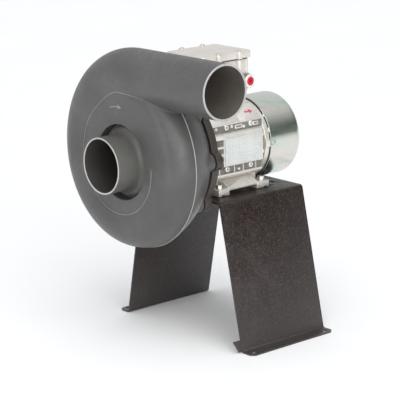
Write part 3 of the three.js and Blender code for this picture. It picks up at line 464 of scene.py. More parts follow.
def textured_paint(name, dark, light):
    """Structure powder coat: fine orange peel with pale flecks, worn a little, and paler and greyer towards the
    floor.
    """
    s = Shader(name)
    fleck = s.noise(330, roughness=0.7)
    peel = s.noise(380)
    blotches = s.noise(34, 4, 0.65)
    scuffs = s.noise(26, 5, 0.7, vector=s.stretched(1, 1, 3))
    base = s.mix(s.spread(fleck, 0.5, 0.66, 0, 0.9), dark, light)
    base = s.mix(s.spread(s.noise(10, 4), 0.35, 0.7, 0, 0.4), base, scaled(dark, 1.6))
    base = s.mix(s.spread(blotches, 0.52, 0.7, 0, 0.16), base, light)
    base = s.mix(s.spread(scuffs, 0.66, 0.8, 0, 0.35), base, scaled(light, 1.5))
    base = s.mix(s.spread(s.cells(95), 0.13, 0.07, 0, 0.55), base, scaled(light, 1.8))
    s.color(s.mix(s.spread(s.axes()["Z"], 0.21, 0.0, 0, 0.42), base, (0.084, 0.079, 0.080)))
    s.gloss(s.math("ADD", s.spread(peel, 0.3, 0.7, 0.24, 0.40), s.spread(blotches, 0.35, 0.65, 0, 0.14)))
    s.bump((peel, 0.35, 0.0006), (fleck, 0.15, 0.0003))
    return s.material


def soft_rubber(name, tone):
    s = Shader(name)
    grain = s.noise(700)
    s.color(s.ramp(s.noise(90), (0.3, scaled(tone, 0.8)), (0.75, scaled(tone, 1.5))))
    s.gloss(s.spread(grain, 0.3, 0.7, 0.65, 0.85))
    s.bump((grain, 0.2, 0.0004))
    return s.material


def glossy_plastic(name, tone, shine):
    s = Shader(name)
    clouds = s.noise(160)
    s.color(s.ramp(clouds, (0.3, scaled(tone, 0.82)), (0.72, scaled(tone, 1.1))))
    s.gloss(s.spread(clouds, 0.3, 0.7, shine - 0.05, shine + 0.1))
    s.bump((s.noise(800, 2), 0.06, 0.0003))
    return s.material


def layered_core(name, tone):
    """Stacked steel sheets seen on edge."""
    s = Shader(name)
    sheets = s.wave(320, 0.4, wave_type="BANDS", bands_direction="Y")
    s.color(s.ramp(sheets, (0.2, scaled(tone, 0.5)), (0.6, tone)))
    s.gloss(s.spread(s.noise(300), 0.3, 0.7, 0.35, 0.55))
    s.bump((sheets, 0.3, 0.0003))
    s.set(Metallic=0.9)
    return s.material


def wound_copper(name, dark, light):
    s = Shader(name)
    turns = s.wave(260, 1.5, wave_type="RINGS", rings_direction="Y")
    s.color(s.ramp(turns, (0.15, dark), (0.6, light)))
    s.gloss(s.spread(s.noise(200), 0.3, 0.7, 0.25, 0.4))
    s.bump((turns, 0.5, 0.0005))
    s.set(Metallic=0.8)
    return s.material


def rating_plate(name, tone):
    """Foil plate ruled into fields, with faint grey bars and no writing."""
    s = Shader(name)
    along, up = s.axes()["Y"], s.axes()["Z"]
    row, column = s.math("MULTIPLY", up, 1 / 0.0043), s.math("MULTIPLY", along, 1 / 0.0155)
    inside, index = s.math("FRACT", row), s.math("FLOOR", row)
    marks = s.noise(1, 1, vector=s.grid(s.math("MULTIPLY", along, 300), s.math("MULTIPLY", index, 7.31)))
    field = {"Vector": s.grid(s.math("FLOOR", column), index)}
    tint = s.add("ShaderNodeTexWhiteNoise", field, noise_dimensions="2D").outputs["Value"]
    band = s.math("MULTIPLY", s.spread(inside, 0.30, 0.36), s.spread(inside, 0.74, 0.68))
    bars = s.math("MULTIPLY", band, s.spread(marks, 0.53, 0.57, 0, 0.22))
    rules = s.math("MAXIMUM", s.spread(inside, 0.12, 0.07, 0, 0.45),
                   s.spread(s.math("FRACT", column), 0.04, 0.02, 0, 0.3))
    base = s.mix(s.spread(tint, 0, 1, 0, 0.16), tone, scaled(tone, 0.6))
    base = s.mix(s.math("MAXIMUM", bars, rules), base, (0.17, 0.18, 0.17))
    s.color(s.mix(s.spread(s.noise(400), 0.4, 0.7, 0, 0.1), base, (0.5, 0.5, 0.5)))
    s.gloss(s.spread(s.noise(90), 0.3, 0.7, 0.3, 0.44))
    s.bump((s.noise(30), 0.15, 0.0006))
    s.set(Metallic=0.3)
    return s.material


def floor_finish(name):
    s = Shader(name)
    s.color(s.ramp(s.noise(3), (0.2, (0.93, 0.93, 0.93)), (0.8, (0.95, 0.95, 0.95))))
    s.set(Roughness=0.8, Specular_IOR_Level=0.1)
    return s.material


LOOKS = {
    moulded_plastic: {  # tone, roughness and dust
        "casing_plastic": ((0.077, 0.0755, 0.074), 0.38),
        # pale tone on the cut rims of the outlet and inlet: painted highlight
        "cut_plastic_edge": ((0.42, 0.41, 0.40), 0.5, 0.1),
        # pale tone of the seam bead: painted highlight
        "seam_plastic": ((0.36, 0.355, 0.34), 0.4, 0.1),
        # pale tone of the channel's edge line and the raised arrow: painted highlight
        "ridge_plastic": ((0.21, 0.205, 0.20), 0.4, 0.1),
        # the outlet's inner wall is paler than the casing outside: painted light inside the tube, with real dust
        # specks
        "duct_plastic": ((0.145, 0.129, 0.113), 0.42, 1.0),
        # the spigot's bore is darker than its outside: painted shade inside the inlet
        "bore_plastic": ((0.05, 0.045, 0.042), 0.4, 0.6),
        "spigot_plastic": ((0.108, 0.106, 0.098), 0.34),
        "adaptor_plastic": ((0.047, 0.037, 0.032), 0.45),
        "impeller_plastic": ((0.022, 0.022, 0.022), 0.45, 0.3),
        "fan_plastic": ((0.025, 0.025, 0.027), 0.45),
    },
    cast_alloy: {  # tone, metallic and roughness
        "motor_alloy": ((0.76, 0.73, 0.68), 0.6, 0.34),
        # darker alloy for the recess floors and fin gaps: painted shade
        "shaded_alloy": ((0.22, 0.21, 0.195), 0.5, 0.4),
        "box_alloy": ((0.70, 0.655, 0.61), 0.4, 0.4),
    },
    galvanised: {"cowl_zinc": ((0.34, 0.50, 0.43), (0.62, 0.71, 0.63), (0.74, 0.70, 0.65))},
    plated_steel: {  # tone, roughness and how the grain is stretched
        "fastener_zinc": ((0.80, 0.79, 0.76), 0.3),
        "bearing_steel": ((0.62, 0.62, 0.62), 0.2),
        "shaft_steel": ((0.55, 0.55, 0.54), 0.25, (1, 8, 1)),
        "black_steel": ((0.085, 0.085, 0.09), 0.4),
    },
    layered_core: {"lamination": ((0.36, 0.36, 0.37),)},
    wound_copper: {"copper_wire": ((0.16, 0.05, 0.02), (0.62, 0.27, 0.12))},
    textured_paint: {"pedestal_paint": ((0.0070, 0.0028, 0.0024), (0.076, 0.045, 0.036))},
    soft_rubber: {"black_rubber": ((0.03, 0.03, 0.03),)},
    glossy_plastic: {  # tone and roughness
        "board_plastic": ((0.20, 0.075, 0.04), 0.25),
        "gland_plastic": ((0.74, 0.73, 0.71), 0.3),
        # darker grey on the gland ring's sides: painted shade
        "gland_ring_side": ((0.20, 0.19, 0.18), 0.35),
        "plug_plastic": ((0.62, 0.005, 0.03), 0.22),
        "sticker_red": ((0.60, 0.10, 0.14), 0.4),
    },
    rating_plate: {"nameplate_foil": ((0.68, 0.705, 0.685),)},
}
FINISHES = {name: maker(name, *look) for maker, looks in LOOKS.items() for name, look in looks.items()}


# ---------------------------------------------------------------- volute
def ease(value, start, end):
    t = min(max((value - start) / (end - start), 0), 1)
    return t * t * (3 - 2 * t)


def blend(first, second, share):
    return first + (second - first) * share


def scroll_radius(travel):
    """Radius at the seam; travel goes clockwise from the right, as seen from the inlet."""
    knots = (SCROLL[0], *SCROLL)
    place = min(max(travel / 90 + 1, 0), 4)
    i = min(int(place), 3)
    t = place - i
    slope = [0 if k in (0, 4) else (knots[k + 1] - knots[k - 1]) / 2 for k in range(5)]
    rise = t * t * (3 - 2 * t)
    return (knots[i] * (1 - rise) + knots[i + 1] * rise + slope[i] * t * (1 - t) ** 2
            + slope[i + 1] * t * t * (t - 1))


def ridge_radius(travel):
    """Where the raised channel leaves the flat front plate."""
    return 74.5 + 0.1 * min(max(travel, 0), 270) + 10.2 * ease(travel, 235, 275)


def outward(travel):
    x, z = polar(1, -travel)
    return Vector((x, 0, z))


def scroll_section(travel, inset, steps):
    """One closed (radius, y) section of the scroll, smaller all round by inset."""
    outer = scroll_radius(travel)
    plate = SEAM - FRONT
    rise = max((OUTLET_RADIUS - plate) * ease(travel, -5, 60), 0.05)
    crest = outer - blend(SHOULDER, OUTLET_RADIUS, ease(travel, 0, 270))
    back_crest = outer - blend(BACK_SHOULDER, OUTLET_RADIUS, ease(travel, 30, 230))
    depth = blend(BACK - SEAM, OUTLET_RADIUS, ease(travel, 30, 230)) - inset
    roundness = blend(BACK_ROUNDNESS, 2, ease(travel, 30, 230))
    ridge = ridge_radius(travel)
    front_depth = plate + rise - inset
    flank = math.acos((plate - inset) / front_depth)
    lip = 0 if inset else 0.8 * ease(travel, -5, 40) * (1 - ease(travel, 250, 270))
    points = [(SCROLL_INNER, FRONT + inset), (ridge - 1.2, FRONT + inset)]
    for i in range(steps + 1):
        angle = flank * (1 - (i / steps) ** 1.5)
        radius = crest - (crest - ridge) * (math.sin(angle) / math.sin(flank))
        bump = lip * ease(radius, ridge, ridge + 2.2) * (1 - ease(radius, ridge + 2.5, ridge + 9))
        points.append((radius, SEAM - front_depth * math.cos(angle) - bump))
    for i in range(1, 2 * steps + 1):
        angle = math.pi / 2 * (1 - i / (2 * steps))
        points.append((crest + (outer - inset - crest) * math.cos(angle), SEAM - front_depth * math.sin(angle)))
    for i in range(1, 2 * steps + 1):
        angle = math.pi / 2 * i / (2 * steps)
        across, along = (max(part, 0) ** (2 / roundness) for part in (math.cos(angle), math.sin(angle)))
        points.append((back_crest + (outer - inset - back_crest) * across, SEAM + depth * along))
    points.append((SCROLL_INNER, SEAM + depth))
    return points


def scroll_stretch(first, last, inset, steps, pitch):
    rings = []
    count = round((last - first) / pitch)
    for i in range(count + 1):
        travel = blend(first, last, i / count)
        cos, sin = polar(1, -travel)
        rings.append([Vector((r * cos, y, r * sin)) for r, y in scroll_section(travel, inset, steps)])
    return loft(rings)


def scroll_body(inset, steps, pitch):
    stretches = [scroll_stretch(a, b, inset, steps, pitch) for a, b in ((-100, 90), (90, 180), (180, 272))]
    return join(*stretches)


def outlet_tube(radius, end):
    return rod("x", radius, 2, end, (SEAM, OUTLET_Z), 96, 0.0)


def casing_outside():
    """The outer skin, with its joins melted together as in a moulding."""
    body = scroll_body(0, 7, 3)
    join(body, rod("y", HUB_RADIUS, FRONT + 0.1, BACK + 6, (0, 0), 120, 1.5),
         outlet_tube(OUTLET_RADIUS, OUTLET_X + 8),
         *rods("y", LOBE_RADIUS - 1, BACK - 20, BACK + 6, LOBES, 48, 0.8))
    melt = body.modifiers.new("melt", "REMESH")
    melt.mode = "VOXEL"
    melt.voxel_size = 1.25
    smooth = body.modifiers.new("smooth", "SMOOTH")
    smooth.factor = 0.5
    smooth.iterations = 14
    return settle(body)


def casing_cavity():
    body = scroll_body(WALL, 4, 6)
    return join(body, rod("y", HUB_RADIUS - WALL, FRONT + WALL + 0.1, BACK - WALL, (0, 0), 96, 1.0),
                outlet_tube(OUTLET_RADIUS - WALL, OUTLET_X + 12))


def mark_faces(obj, test, index):
    """Gives the faces that pass the test the material with this number."""
    for face in obj.data.polygons:
        if test(face):
            face.material_index = index


def build_casing():
    hollow = cut(casing_outside(), casing_cavity(), slab(OUTLET_X, OUTLET_X + 30, -160, 0, 60, 220),
                 slab(-300, 300, BACK, BACK + 30, -300, 300))
    mouth = lathe(rounded([(0, FRONT - 30), (WELL_RADIUS + 3, FRONT - 30), (WELL_RADIUS + 3, FRONT - 0.1),
                           (WELL_RADIUS, FRONT - 0.1, 1.6), (WELL_RADIUS, WELL_FLOOR), (0, WELL_FLOOR)],
                          5, False), 128)
    front = common(copy_of(hollow), slab(-400, 400, -400, SEAM - 0.15, -400, 400))
    well = lathe(rounded([(WELL_RADIUS + 0.1, FRONT + 2), (WELL_RADIUS + WALL, FRONT + 2),
                          (WELL_RADIUS + WALL, WELL_FLOOR + WALL), (SCROLL_INNER, WELL_FLOOR + WALL),
                          (SCROLL_INNER, WELL_FLOOR), (WELL_RADIUS + 0.1, WELL_FLOOR, 1.5)], 4), 128)
    front = join(cut(front, mouth), well)
    back = common(hollow, slab(-400, 400, SEAM + 0.15, 400, -400, 400))
    join(back, *rods("y", 6, BACK - 2, -19.8, LOBES, 28, 0.3))
    cut(back, rod("y", 14, BACK - 8, BACK + 4, (0, 0), 48, 0), *rods("y", 2.8, BACK - 2.2, -18, LOBES, 16))
    build_front_marks(front)
    for obj, name in ((front, "volute_front"), (back, "volute_back")):
        # faces inside the outlet get the paler duct tone, painted light inside the tube
        mark_faces(obj, inside_outlet, 2)
        # the outlet's end face gets the pale rim tone, a painted highlight
        mark_faces(obj, lambda face: face.normal.x > 0.9 and face.center.x > OUTLET_X - 0.6, 1)
        finish_piece(obj, name, "casing_plastic", [name + "_shell"], extra=("cut_plastic_edge", "duct_plastic"),
                     angle=28)


def inside_outlet(face):
    across, up = face.center.y - SEAM, face.center.z - OUTLET_Z
    return face.center.x > 40 and math.hypot(across, up) < OUTLET_RADIUS - 1 and abs(face.normal.x) < 0.9


def build_seam():
    """The welded bead where the two shells meet, coloured pale as a painted highlight along it."""
    rings = []
    for i in range(121):
        travel = blend(-64, 246, i / 120)
        out = outward(travel)
        place = out * (scroll_radius(travel) - 0.15) + Vector((0, SEAM, 0))
        rings.append(oval(place, out, Vector((0, 1, 0)), 0.9, 0.75))
    finish_piece(loft(rings), "volute_seam_bead", "seam_plastic", angle=35)


def build_front_marks(front):
    """A pale painted highlight along the edge of the raised channel, and a plain rotation arrow in the same pale
    tone as painted highlight on its relief, laid on the front shell.
    """
    work = bmesh.new()
    work.from_mesh(front.data)
    surface = BVHTree.FromBMesh(work)
    work.free()

    def laid(radius, travel):
        out = outward(travel)
        hit, normal, _, _ = surface.ray_cast(out * radius + Vector((0, -200, 0)), Vector((0, 1, 0)))
        return hit, normal, out

    places = [blend(-2, 268, i / 149) for i in range(150)]
    path = [laid(ridge_radius(travel) + 1.0, travel) for travel in places]
    path += [laid(*end) for end in ((113, 283), (115.5, 289), (118.5, 295), (122.7, 302), (128, 307))]
    rings = []
    for i, (point, normal, out) in enumerate(path):
        size = min(1, i / 4 + 0.25, (len(path) - 1 - i) / 6 + 0.1)
        rings.append(oval(point, normal, out, 0.8 * size, 0.55 * size))
    finish_piece(loft(rings), "volute_ridge_edge", "ridge_plastic", angle=35)

    radius, y = 88.0, FRONT + 0.1
    arc = range(91, 106, 2)
    shaft = [polar(radius - 0.8, a) for a in arc] + [polar(radius + 0.8, a) for a in arc[::-1]]
    head = [polar(radius, 85), polar(radius - 3.4, 92), polar(radius + 3.4, 92)]
    arrow = join(prism(shaft, y - 0.7, y + 0.5, "y"), prism(head, y - 0.7, y + 0.5, "y"))
    soften(arrow, 0.2, 2)
    # the arrow takes the same pale tone, as painted highlight on its relief
    finish_piece(arrow, "volute_rotation_arrow", "ridge_plastic", angle=35)


def build_spigot():
    obj = lathe(rounded([
        (SPIGOT_BORE, SPIGOT_RIM, 0.7), (SPIGOT_RADIUS, SPIGOT_RIM, 0.7), (SPIGOT_RADIUS, -114, 17),
        (56.3, -108.2, 3.5), (56, -103.3, 0.5), (SPIGOT_RADIUS, -103.3), (SPIGOT_RADIUS, SPIGOT_TAIL, 0.6),
        (SPIGOT_BORE, SPIGOT_TAIL, 0.6),
    ], 9), 160)
    # the bore gets the darker tone, painted shade inside the inlet
    mark_faces(obj, lambda face: math.hypot(face.center.x, face.center.z) < SPIGOT_BORE + 0.2, 2)
    # the spigot's front rim gets the pale rim tone, a painted highlight
    mark_faces(obj, lambda face: face.center.y < SPIGOT_RIM + 0.8, 1)
    finish_piece(obj, "inlet_spigot_smooth", "spigot_plastic", ["inlet_spigot"],
                 extra=("cut_plastic_edge", "bore_plastic"))


# ---------------------------------------------------------------- motor adaptor plate
def build_adaptor():
    outline = []
    for k in range(720):
        degrees = k / 2
        off = math.radians((degrees + 22.5) % 45 - 22.5)
        reach = ADAPTOR_RADIUS
        if abs(off) < math.asin(LOBE_RADIUS / LOBE_CIRCLE):
            side = LOBE_CIRCLE * math.sin(off)
            reach = max(reach, LOBE_CIRCLE * math.cos(off) + math.sqrt(max(LOBE_RADIUS ** 2 - side ** 2, 0)))
        outline.append(polar(reach, degrees))
    plate = soften(prism(outline, ADAPTOR_FRONT, ADAPTOR_BACK, "y"), 0.6, 3, 60)
    recess = lathe(rounded([(68, -14, 1.5), (95, -14, 1.5), (95, -5), (68, -5)], 3), 96)
    cut(plate, recess, rod("y", 30, -21, -5, (0, 0), 64, 0))
    ribs = [turned(slab(67, 96, -18.5, -7, -1.5, 1.5, 0.5), 45 * i) for i in range(8)]
    join(plate, *ribs, *rods("y", 12, -18, -6.02, LOBES, 48, 0.6))
    screws = [polar(42.5, degrees) for degrees in DIAGONALS]
    cut(plate, *rods("y", 2.8, -21, -5, LOBES, 16), *rods("y", 3, -21, -5, screws, 16),
        *rods("y", 5.1, -21, -15.2, screws, 24))
    finish_piece(plate, "motor_adaptor_moulded", "adaptor_plastic", ["motor_adaptor"])


# ---------------------------------------------------------------- motor
BOSSES = ((49, 38.2), (101, 38.2), (49.5, -30), (100, -30))
SIDE_BLOCKS = (  # x away from the shaft, y, z, bevel and its steps
    (40, 65.7, 39, 123.5, -24.5, 29.5, 1.0, 3),  # pad of the nameplate
    *((44, 65.2, 15.2, 42, z - 2.0, z + 2.0, 0.9, 3) for z in (-17, -4.5, 8)),  # fins in front of it
    (44, 65.0, 15.2, 42, 20, 29, 1.2, 3),
    (40, 59.8, 15.2, 126.5, 28, 42, 0.8),  # floor of the row above it
    *((42, 61.0, *ys, 33.4, 40, 1.0, 3) for ys in ((68, 84), (106.5, 118))),  # frames of the small windows
    (40, 57.6, 15.2, 126, -38, -24, 0.8),  # floor of the row below it
    *((42, 60.2, y - 0.9, y + 0.9, -38, -24, 0.5) for y in (34, 66, 85, 112)),
    (35, 46, 21, 126, -46, -20, 0.8),  # seat of the foot
)
SIDE_SLOPES = (  # outline in x and z, y and bevel
    (((30, 44), (58.2, 40.5), (60.4, 43.5), (38, 65.9), (20, 65.9)), 15.4, 80, 1.4),
    (((30, 44), (56.6, 40.5), (58.8, 42.8), (36.5, 64.6), (20, 64.6)), 79, 126.5, 1.4),
    (((38, -45.9), (56, -45.9), (60.5, -41.5), (60.5, -37.5), (38, -37.5)), 15.4, 126, 0.9),
)
SIDE_BOSSES = (  # radius, reach, y and z of each, segments and edge
    (4.6, 62.2, BOSSES[:2], 36, 1.4),
    (4.8, 62.2, BOSSES[2:], 36, 1.4),
    (2.6, 61.2, ((28, 38), (61, 38.5), (87, 35), (24, -31), (75, -33)), 24, 1.2),
)
RIM_LUGS = ((119.5, 38.3), (124.0, 28.9), (124.4, 16.7), (123.6, -11), (120.5, -23.5))


def build_housing():
    body = lathe(rounded([(MOTOR_BORE, FRAME_FRONT), (FRAME_RADIUS, FRAME_FRONT, 0.8),
                          (FRAME_RADIUS, FRAME_BACK, 0.8), (MOTOR_BORE, FRAME_BACK)], 3), 128)
    parts = [slab(-36, 36, 21, 113, 20, 66, 1.5, 3)]
    parts += [slab(x - 1.3, x + 1.3, 15, 127.4, -63.5, -50, 0.9, 3) for x in (-13.2, -6.6, 0, 6.6, 13.2)]
    holes = []
    for side in (-1, 1):
        span = mirror(side)
        parts += [slab(*span(near, far), *rest) for near, far, *rest in SIDE_BLOCKS]
        parts += [soften(prism([(side * x, z) for x, z in outline], y0, y1, "y"), bevel, 3, 30)
                  for outline, y0, y1, bevel in SIDE_SLOPES]
        for radius, reach, *rest in SIDE_BOSSES:
            parts += rods("x", radius, *span(40, reach), *rest)
        for y, z in RIM_LUGS:
            parts.append(rod("x", 3.6, *span(44, math.sqrt(66.2 ** 2 - z ** 2)), (y, z), 28, 1.6))
        holes += rods("x", 1.5, *span(58, 70), BOSSES, 20)
        holes += [slab(*span(59.2, 70), *ys, 35.4, 38.2, 0.3) for ys in ((70, 82), (108.5, 116))]
        holes.append(slab(*span(58.9, 62), 15, 127, 30.0, 31.6))
    join(body, *parts)
    cut(body, rod("y", MOTOR_BORE, 10, 132, (0, 0), 96, 0), *holes)
    # recess floors and fin gaps get the darker alloy, painted shade
    mark_faces(body, in_recess, 1)
    finish_piece(body, "stator_housing_cast", "motor_alloy", ["stator_housing"], extra=("shaded_alloy",))


def in_recess(face):
    """The floors of the rows beside the side pads and the gaps between the fins in front of the pad, given a darker
    alloy as painted shade.
    """
    x, z = abs(face.center.x), face.center.z
    return abs(face.normal.x) > 0.9 and x < 59.9 and (30 < z < 42 or -38 < z < -24 or face.center.y < 42)


def build_shields():
    front = lathe(rounded([
        (9, -10), (29.7, -10), (29.7, -5.7), (52.5, -5.7, 1), (52.5, 1.8, 2), (62, 8, 2.5), (62, 14, 0.7), (56, 14),
        (52, 4.3, 2), (26, 2.3), (23, 12), (17.8, 12), (17.8, 0.7), (9, 0.7),
    ], 4), 128)
    lugs = [turned(rod("y", 5, -5.6, 13.6, (51, 0), 28, 0.8), a) for a in DIAGONALS]
    finish_piece(join(front, *lugs), "drive_end_shield_cast", "motor_alloy", ["drive_end_shield"], angle=35)
    back = lathe(rounded([
        (57, 128.3), (66.2, 128.3, 1.2), (66.2, 137.2, 1.5), (64, 139.5, 1), (54, 142.6, 2), (22, 143.1, 2),
        (9, 143.1), (9, 139.6), (17.8, 139.6), (17.8, 128.3), (23, 128.3), (26, 135.6), (50, 133.6, 2),
    ], 4), 144)
    parts = [turned(slab(*block), a) for a in THIRDS for block in (
        (53, 66.3, 128.3, 147.5, -5.5, 5.5, 1.2, 3), (60, 68.4, 128.3, 138.2, -5.8, 5.8, 1.0, 3),
        (60, 67.2, 128.3, 133.5, -8.5, 8.5, 0.8, 3))]
    parts += [turned(slab(24, 57, 137, 142.4, -1.4, 1.4, 0.6), a) for a in range(30, 390, 60)]
    parts += [turned(rod("y", 4.6, 128.6, 138, (59, 0), 28, 0.8), a) for a in DIAGONALS]
    finish_piece(join(back, *parts), "rear_end_shield_cast", "motor_alloy", ["rear_end_shield"], angle=35)


def build_feet():
    web_outline = ((40, -46.3), (46, -46.3), (66.6, -58.6), (66.6, -63.4), (63, -63.4), (40, -50))
    rim_outline = ((44, -46.3), (47, -46.3), (67.4, -58.4), (67.4, -61), (44, -48.5))
    blocks = (  # as for the housing's sides
        (42, 68, 25, 48, -71, -59.9, 1.4, 3), (42, 68, 107, 134, -71, -59.9, 1.4, 3),
        (42, 67.2, 44.5, 48, -70, -58.2, 0.9, 3), (42, 67.2, 107, 112, -70, -58.2, 0.9, 3),
        (63.5, 67.4, 45.2, 108, -63.6, -60.2, 0.6),
    )
    for side, name in ((1, "right_motor_foot"), (-1, "left_motor_foot")):
        span = mirror(side)
        foot = slab(*span(35, 43.5), 26, 126, -71, -46.3, 0.8, 3)
        parts = [slab(*span(near, far), *rest) for near, far, *rest in blocks]
        parts.append(soften(prism([(side * x, z) for x, z in web_outline], 45.2, 108, "y"), 0.5, 2, 30))
        parts += [soften(prism([(side * x, z) for x, z in rim_outline], y - 0.8, y + 0.8, "y"), 0.35)
                  for y in (46.0, 107.2)]
        join(foot, *parts)
        bolts = [(side * 56, y) for y in BOLT_YS]
        cut(foot, *[slab(*span(33, 70), y, y + 6, -73, -68.4) for y in (32, 122)],
            *rods("z", 3.3, -73, -50, bolts, 32), *rods("z", 7.8, -59.75, -50, bolts, 40))
        finish_piece(foot, name + "_cast", "motor_alloy", [name], angle=35)


def cross_screw(profile, reach, half, low, high, shank):
    """A screw along y whose turned head has a cross recess."""
    head = lathe(rounded(profile, 4, False), 36)
    return join(cut(head, slab(-reach, reach, low, high, -half, half), slab(-half, half, low, high, -reach, reach)),
                shank)


def finish_screw(obj, name, style):
    finish_piece(obj, f"{name}_{style}", "fastener_zinc", [name], angle=35)


def build_fasteners():
    for i, place in enumerate(BOLTS, 1):
        bolt = join(hexagon(5.8, -58.3, -54.0, place, "z"), rod("z", 3, -82.1, -57.8, place, 28, 0.5),
                    rod("z", 7.2, -59.7, -58.2, place, 48, 0.35))
        finish_screw(bolt, f"foot_bolt_{i}", "hex")
        nut = join(hexagon(5.8, -79.1, -74.1, place, "z"), rod("z", 3, -79.0, -78.6, place, 28, 0.5))
        cut(nut, rod("z", 3.2, -84, -70, place, 28, 0))
        finish_screw(nut, f"foot_nut_{i}", "hex")
    for i, place in enumerate(LOBES, 1):
        screw = join(hexagon(4.6, -5.7, -2.3, place, "y"), rod("y", 5.4, -5.7, -4.9, place, 32, 0.2),
                     rod("y", 2.5, -23.9, -5.2, place, 20, 0.3))
        finish_screw(screw, f"casing_screw_{i}", "hex")
    for i, degrees in enumerate(THIRDS, 1):
        screw = cross_screw([(0, 69.3), (4, 69.3, 0.3), (3.7, 70.9, 1.2), (0, 71.5)], 2.4, 0.45, 70.4, 73,
                            rod("y", 2, 60, 69.5, (0, 0), 24, 0.3))
        turned(placed(screw, "x", (COWL_SCREW_Y, 0)), degrees)
        finish_screw(screw, f"cowl_screw_{i}", "cross")
    top = LID_LOW + LID_HEIGHT + 0.3
    for i, (x, y) in enumerate(COLUMNS, 1):
        screw = cross_screw([(0, 0), (3.6, 0, 0.2), (3.6, 2.0, 0.7), (0, 2.4)], 2.2, 0.4, 1.2, 4,
                            rod("y", 1.8, BOX_TOP - 12 - top, 0.3, (0, 0), 20, 0.2))
        screw.data.transform(Matrix.Translation((x, y, top)) @ Matrix.Rotation(math.pi / 2, 4, "X"))
        finish_screw(screw, f"lid_screw_{i}", "cross")


def build_nameplate():
    plate = prism(rounded_box(41, 119, -22.5, 22.5, 2.2, 5), 66.0, 66.8, "x")
    soften(plate, 0.2, 2, 60)
    finish_piece(plate, "nameplate_foil_piece", "nameplate_foil", ["nameplate"], angle=35)
    for i, y in enumerate((44, 116), 1):
        rivet = lathe(rounded([(0, 66.5), (1.7, 66.5), (1.6, 67.2, 0.6), (0, 67.5)], 4, False), 28)
        finish_piece(placed(rivet, "x", (y, 0)), f"nameplate_rivet_{i}", "fastener_zinc", angle=35)


def build_sticker():
    """A plain red rotation arrow on the sloping side of the motor."""
    outline = [(-9, -1.6), (2, -1.6), (2, -4.6), (9.5, 0), (2, 4.6), (2, 1.6), (-9, 1.6), (-6.8, 0)]
    arrow = prism(outline, 0, 0.25, "z")
    down = Matrix.Rotation(math.radians(45), 4, "Y")
    along = Matrix.Rotation(math.radians(90), 4, "Z")
    arrow.data.transform(Matrix.Translation((47.1, 108, 54.3)) @ down @ along)
    finish_piece(arrow, "rotation_arrow_sticker", "sticker_red", angle=35)


def build_cowl():
    bore, floor = COWL_RADIUS - COWL_SHEET, COWL_BACK - COWL_SHEET
    cowl = lathe(rounded([(0, floor), (bore, floor, 10.5), (bore, COWL_FRONT, 0.3), (COWL_RADIUS, COWL_FRONT, 0.3),
                          (COWL_RADIUS, COWL_BACK, 12), (0, COWL_BACK)], 12, False), 160)
    centres = [polar(level * 11.5, 60 * i / level) for level in range(1, 5) for i in range(level * 6)]
    cut(cowl, *rods("y", 3.9, 203, 212, [(0, 0), *centres], 18),
        *[turned(rod("x", 2.3, 60, 75, (COWL_SCREW_Y, 0), 20, 0), a) for a in THIRDS])
    finish_piece(cowl, "fan_cowl_sheet", "cowl_zinc", ["fan_cowl"], angle=40)


# ---------------------------------------------------------------- terminal box
def box_block(grow, low, high, corner=BOX_CORNER, steps=8):
    """A block as wide and long as the terminal box, plus grow on all four sides."""
    outline = rounded_box(-BOX_HALF - grow, BOX_HALF + grow, BOX_FRONT - grow, BOX_BACK + grow, corner, steps)
    return prism(outline, low, high, "z")


def build_terminal_box():
    box = soften(box_block(0, 88.3, BOX_TOP), 1.6, 3, 60)
    corners = [(side * 41.2, y) for side in (-1, 1) for y in (24, 110)]
    join(box, box_block(-7, BOX_BOTTOM, 92), soften(box_block(-4, 84, 90), 1.8, 3, 60),
         *rods("z", 6.2, BOX_TOP - 26, BOX_TOP, COLUMNS, 40, 0.6),
         *rods("z", 3.2, 96, BOX_TOP - 0.4, corners, 28, 0.5),
         rod("x", 14, 40, 47, GLAND, 64, 0.8), slab(-12, 12, BOX_FRONT - 1.2, BOX_FRONT + 3, 98, 124, 1.0))
    cut(box, box_block(-3.2, 93.5, BOX_TOP + 4, 5.8, 6), rod("x", 10, 30, 56, GLAND, 48, 0),
        rod("z", 10, 60, 100, (0, 67), 40, 0), *rods("z", 2.1, BOX_TOP - 14, BOX_TOP + 3, COLUMNS, 20))
    finish_piece(box, "terminal_box_cast", "box_alloy", ["terminal_box"])


def build_lid():
    lid = soften(box_block(3.6, LID_LOW, LID_LOW + LID_HEIGHT), 2.2, 4, 60)
    join(lid, *rods("z", 6.4, LID_LOW, LID_LOW + 11.8, COLUMNS, 40, 1.0))
    cut(lid, box_block(-3, LID_LOW - 2, LID_LOW + 8.4, 6, 6),
        *rods("z", 2.1, LID_LOW - 2, LID_LOW + 14, COLUMNS, 20))
    finish_piece(lid, "terminal_box_lid_cast", "box_alloy", ["terminal_box_lid"])


def build_gland():
    x = 47.3
    body = join(rod("x", 9.7, 35, x + 1, GLAND, 48, 0.3), rod("x", 11.6, x, x + 12.5, GLAND, 72, 1.2))
    cut(body, rod("x", 8.3, 34, x + 11.1, GLAND, 48, 0), rod("x", 7.2, 34, x + 15, GLAND, 48, 0))
    # faces of the ring that do not face out get the darker grey, painted shade
    mark_faces(body, lambda face: face.normal.x < 0.5 and face.center.x > x - 1, 1)
    finish_piece(body, "cable_gland_ring", "gland_plastic", ["cable_gland"], extra=("gland_ring_side",), angle=35)
    plug = join(rod("x", 8.0, 43, x + 10.7, GLAND, 48, 0.6), rod("x", 6.9, x, x + 11.9, GLAND, 48, 0.6))
    socket = [(GLAND[0] + y, GLAND[1] + z) for y, z in (polar(3.6, 60 * i) for i in range(6))]
    cut(plug, prism(socket, x + 9.4, x + 15, "x"))
    finish_piece(plug, "gland_plug_cap", "plug_plastic", ["gland_plug"], angle=35)


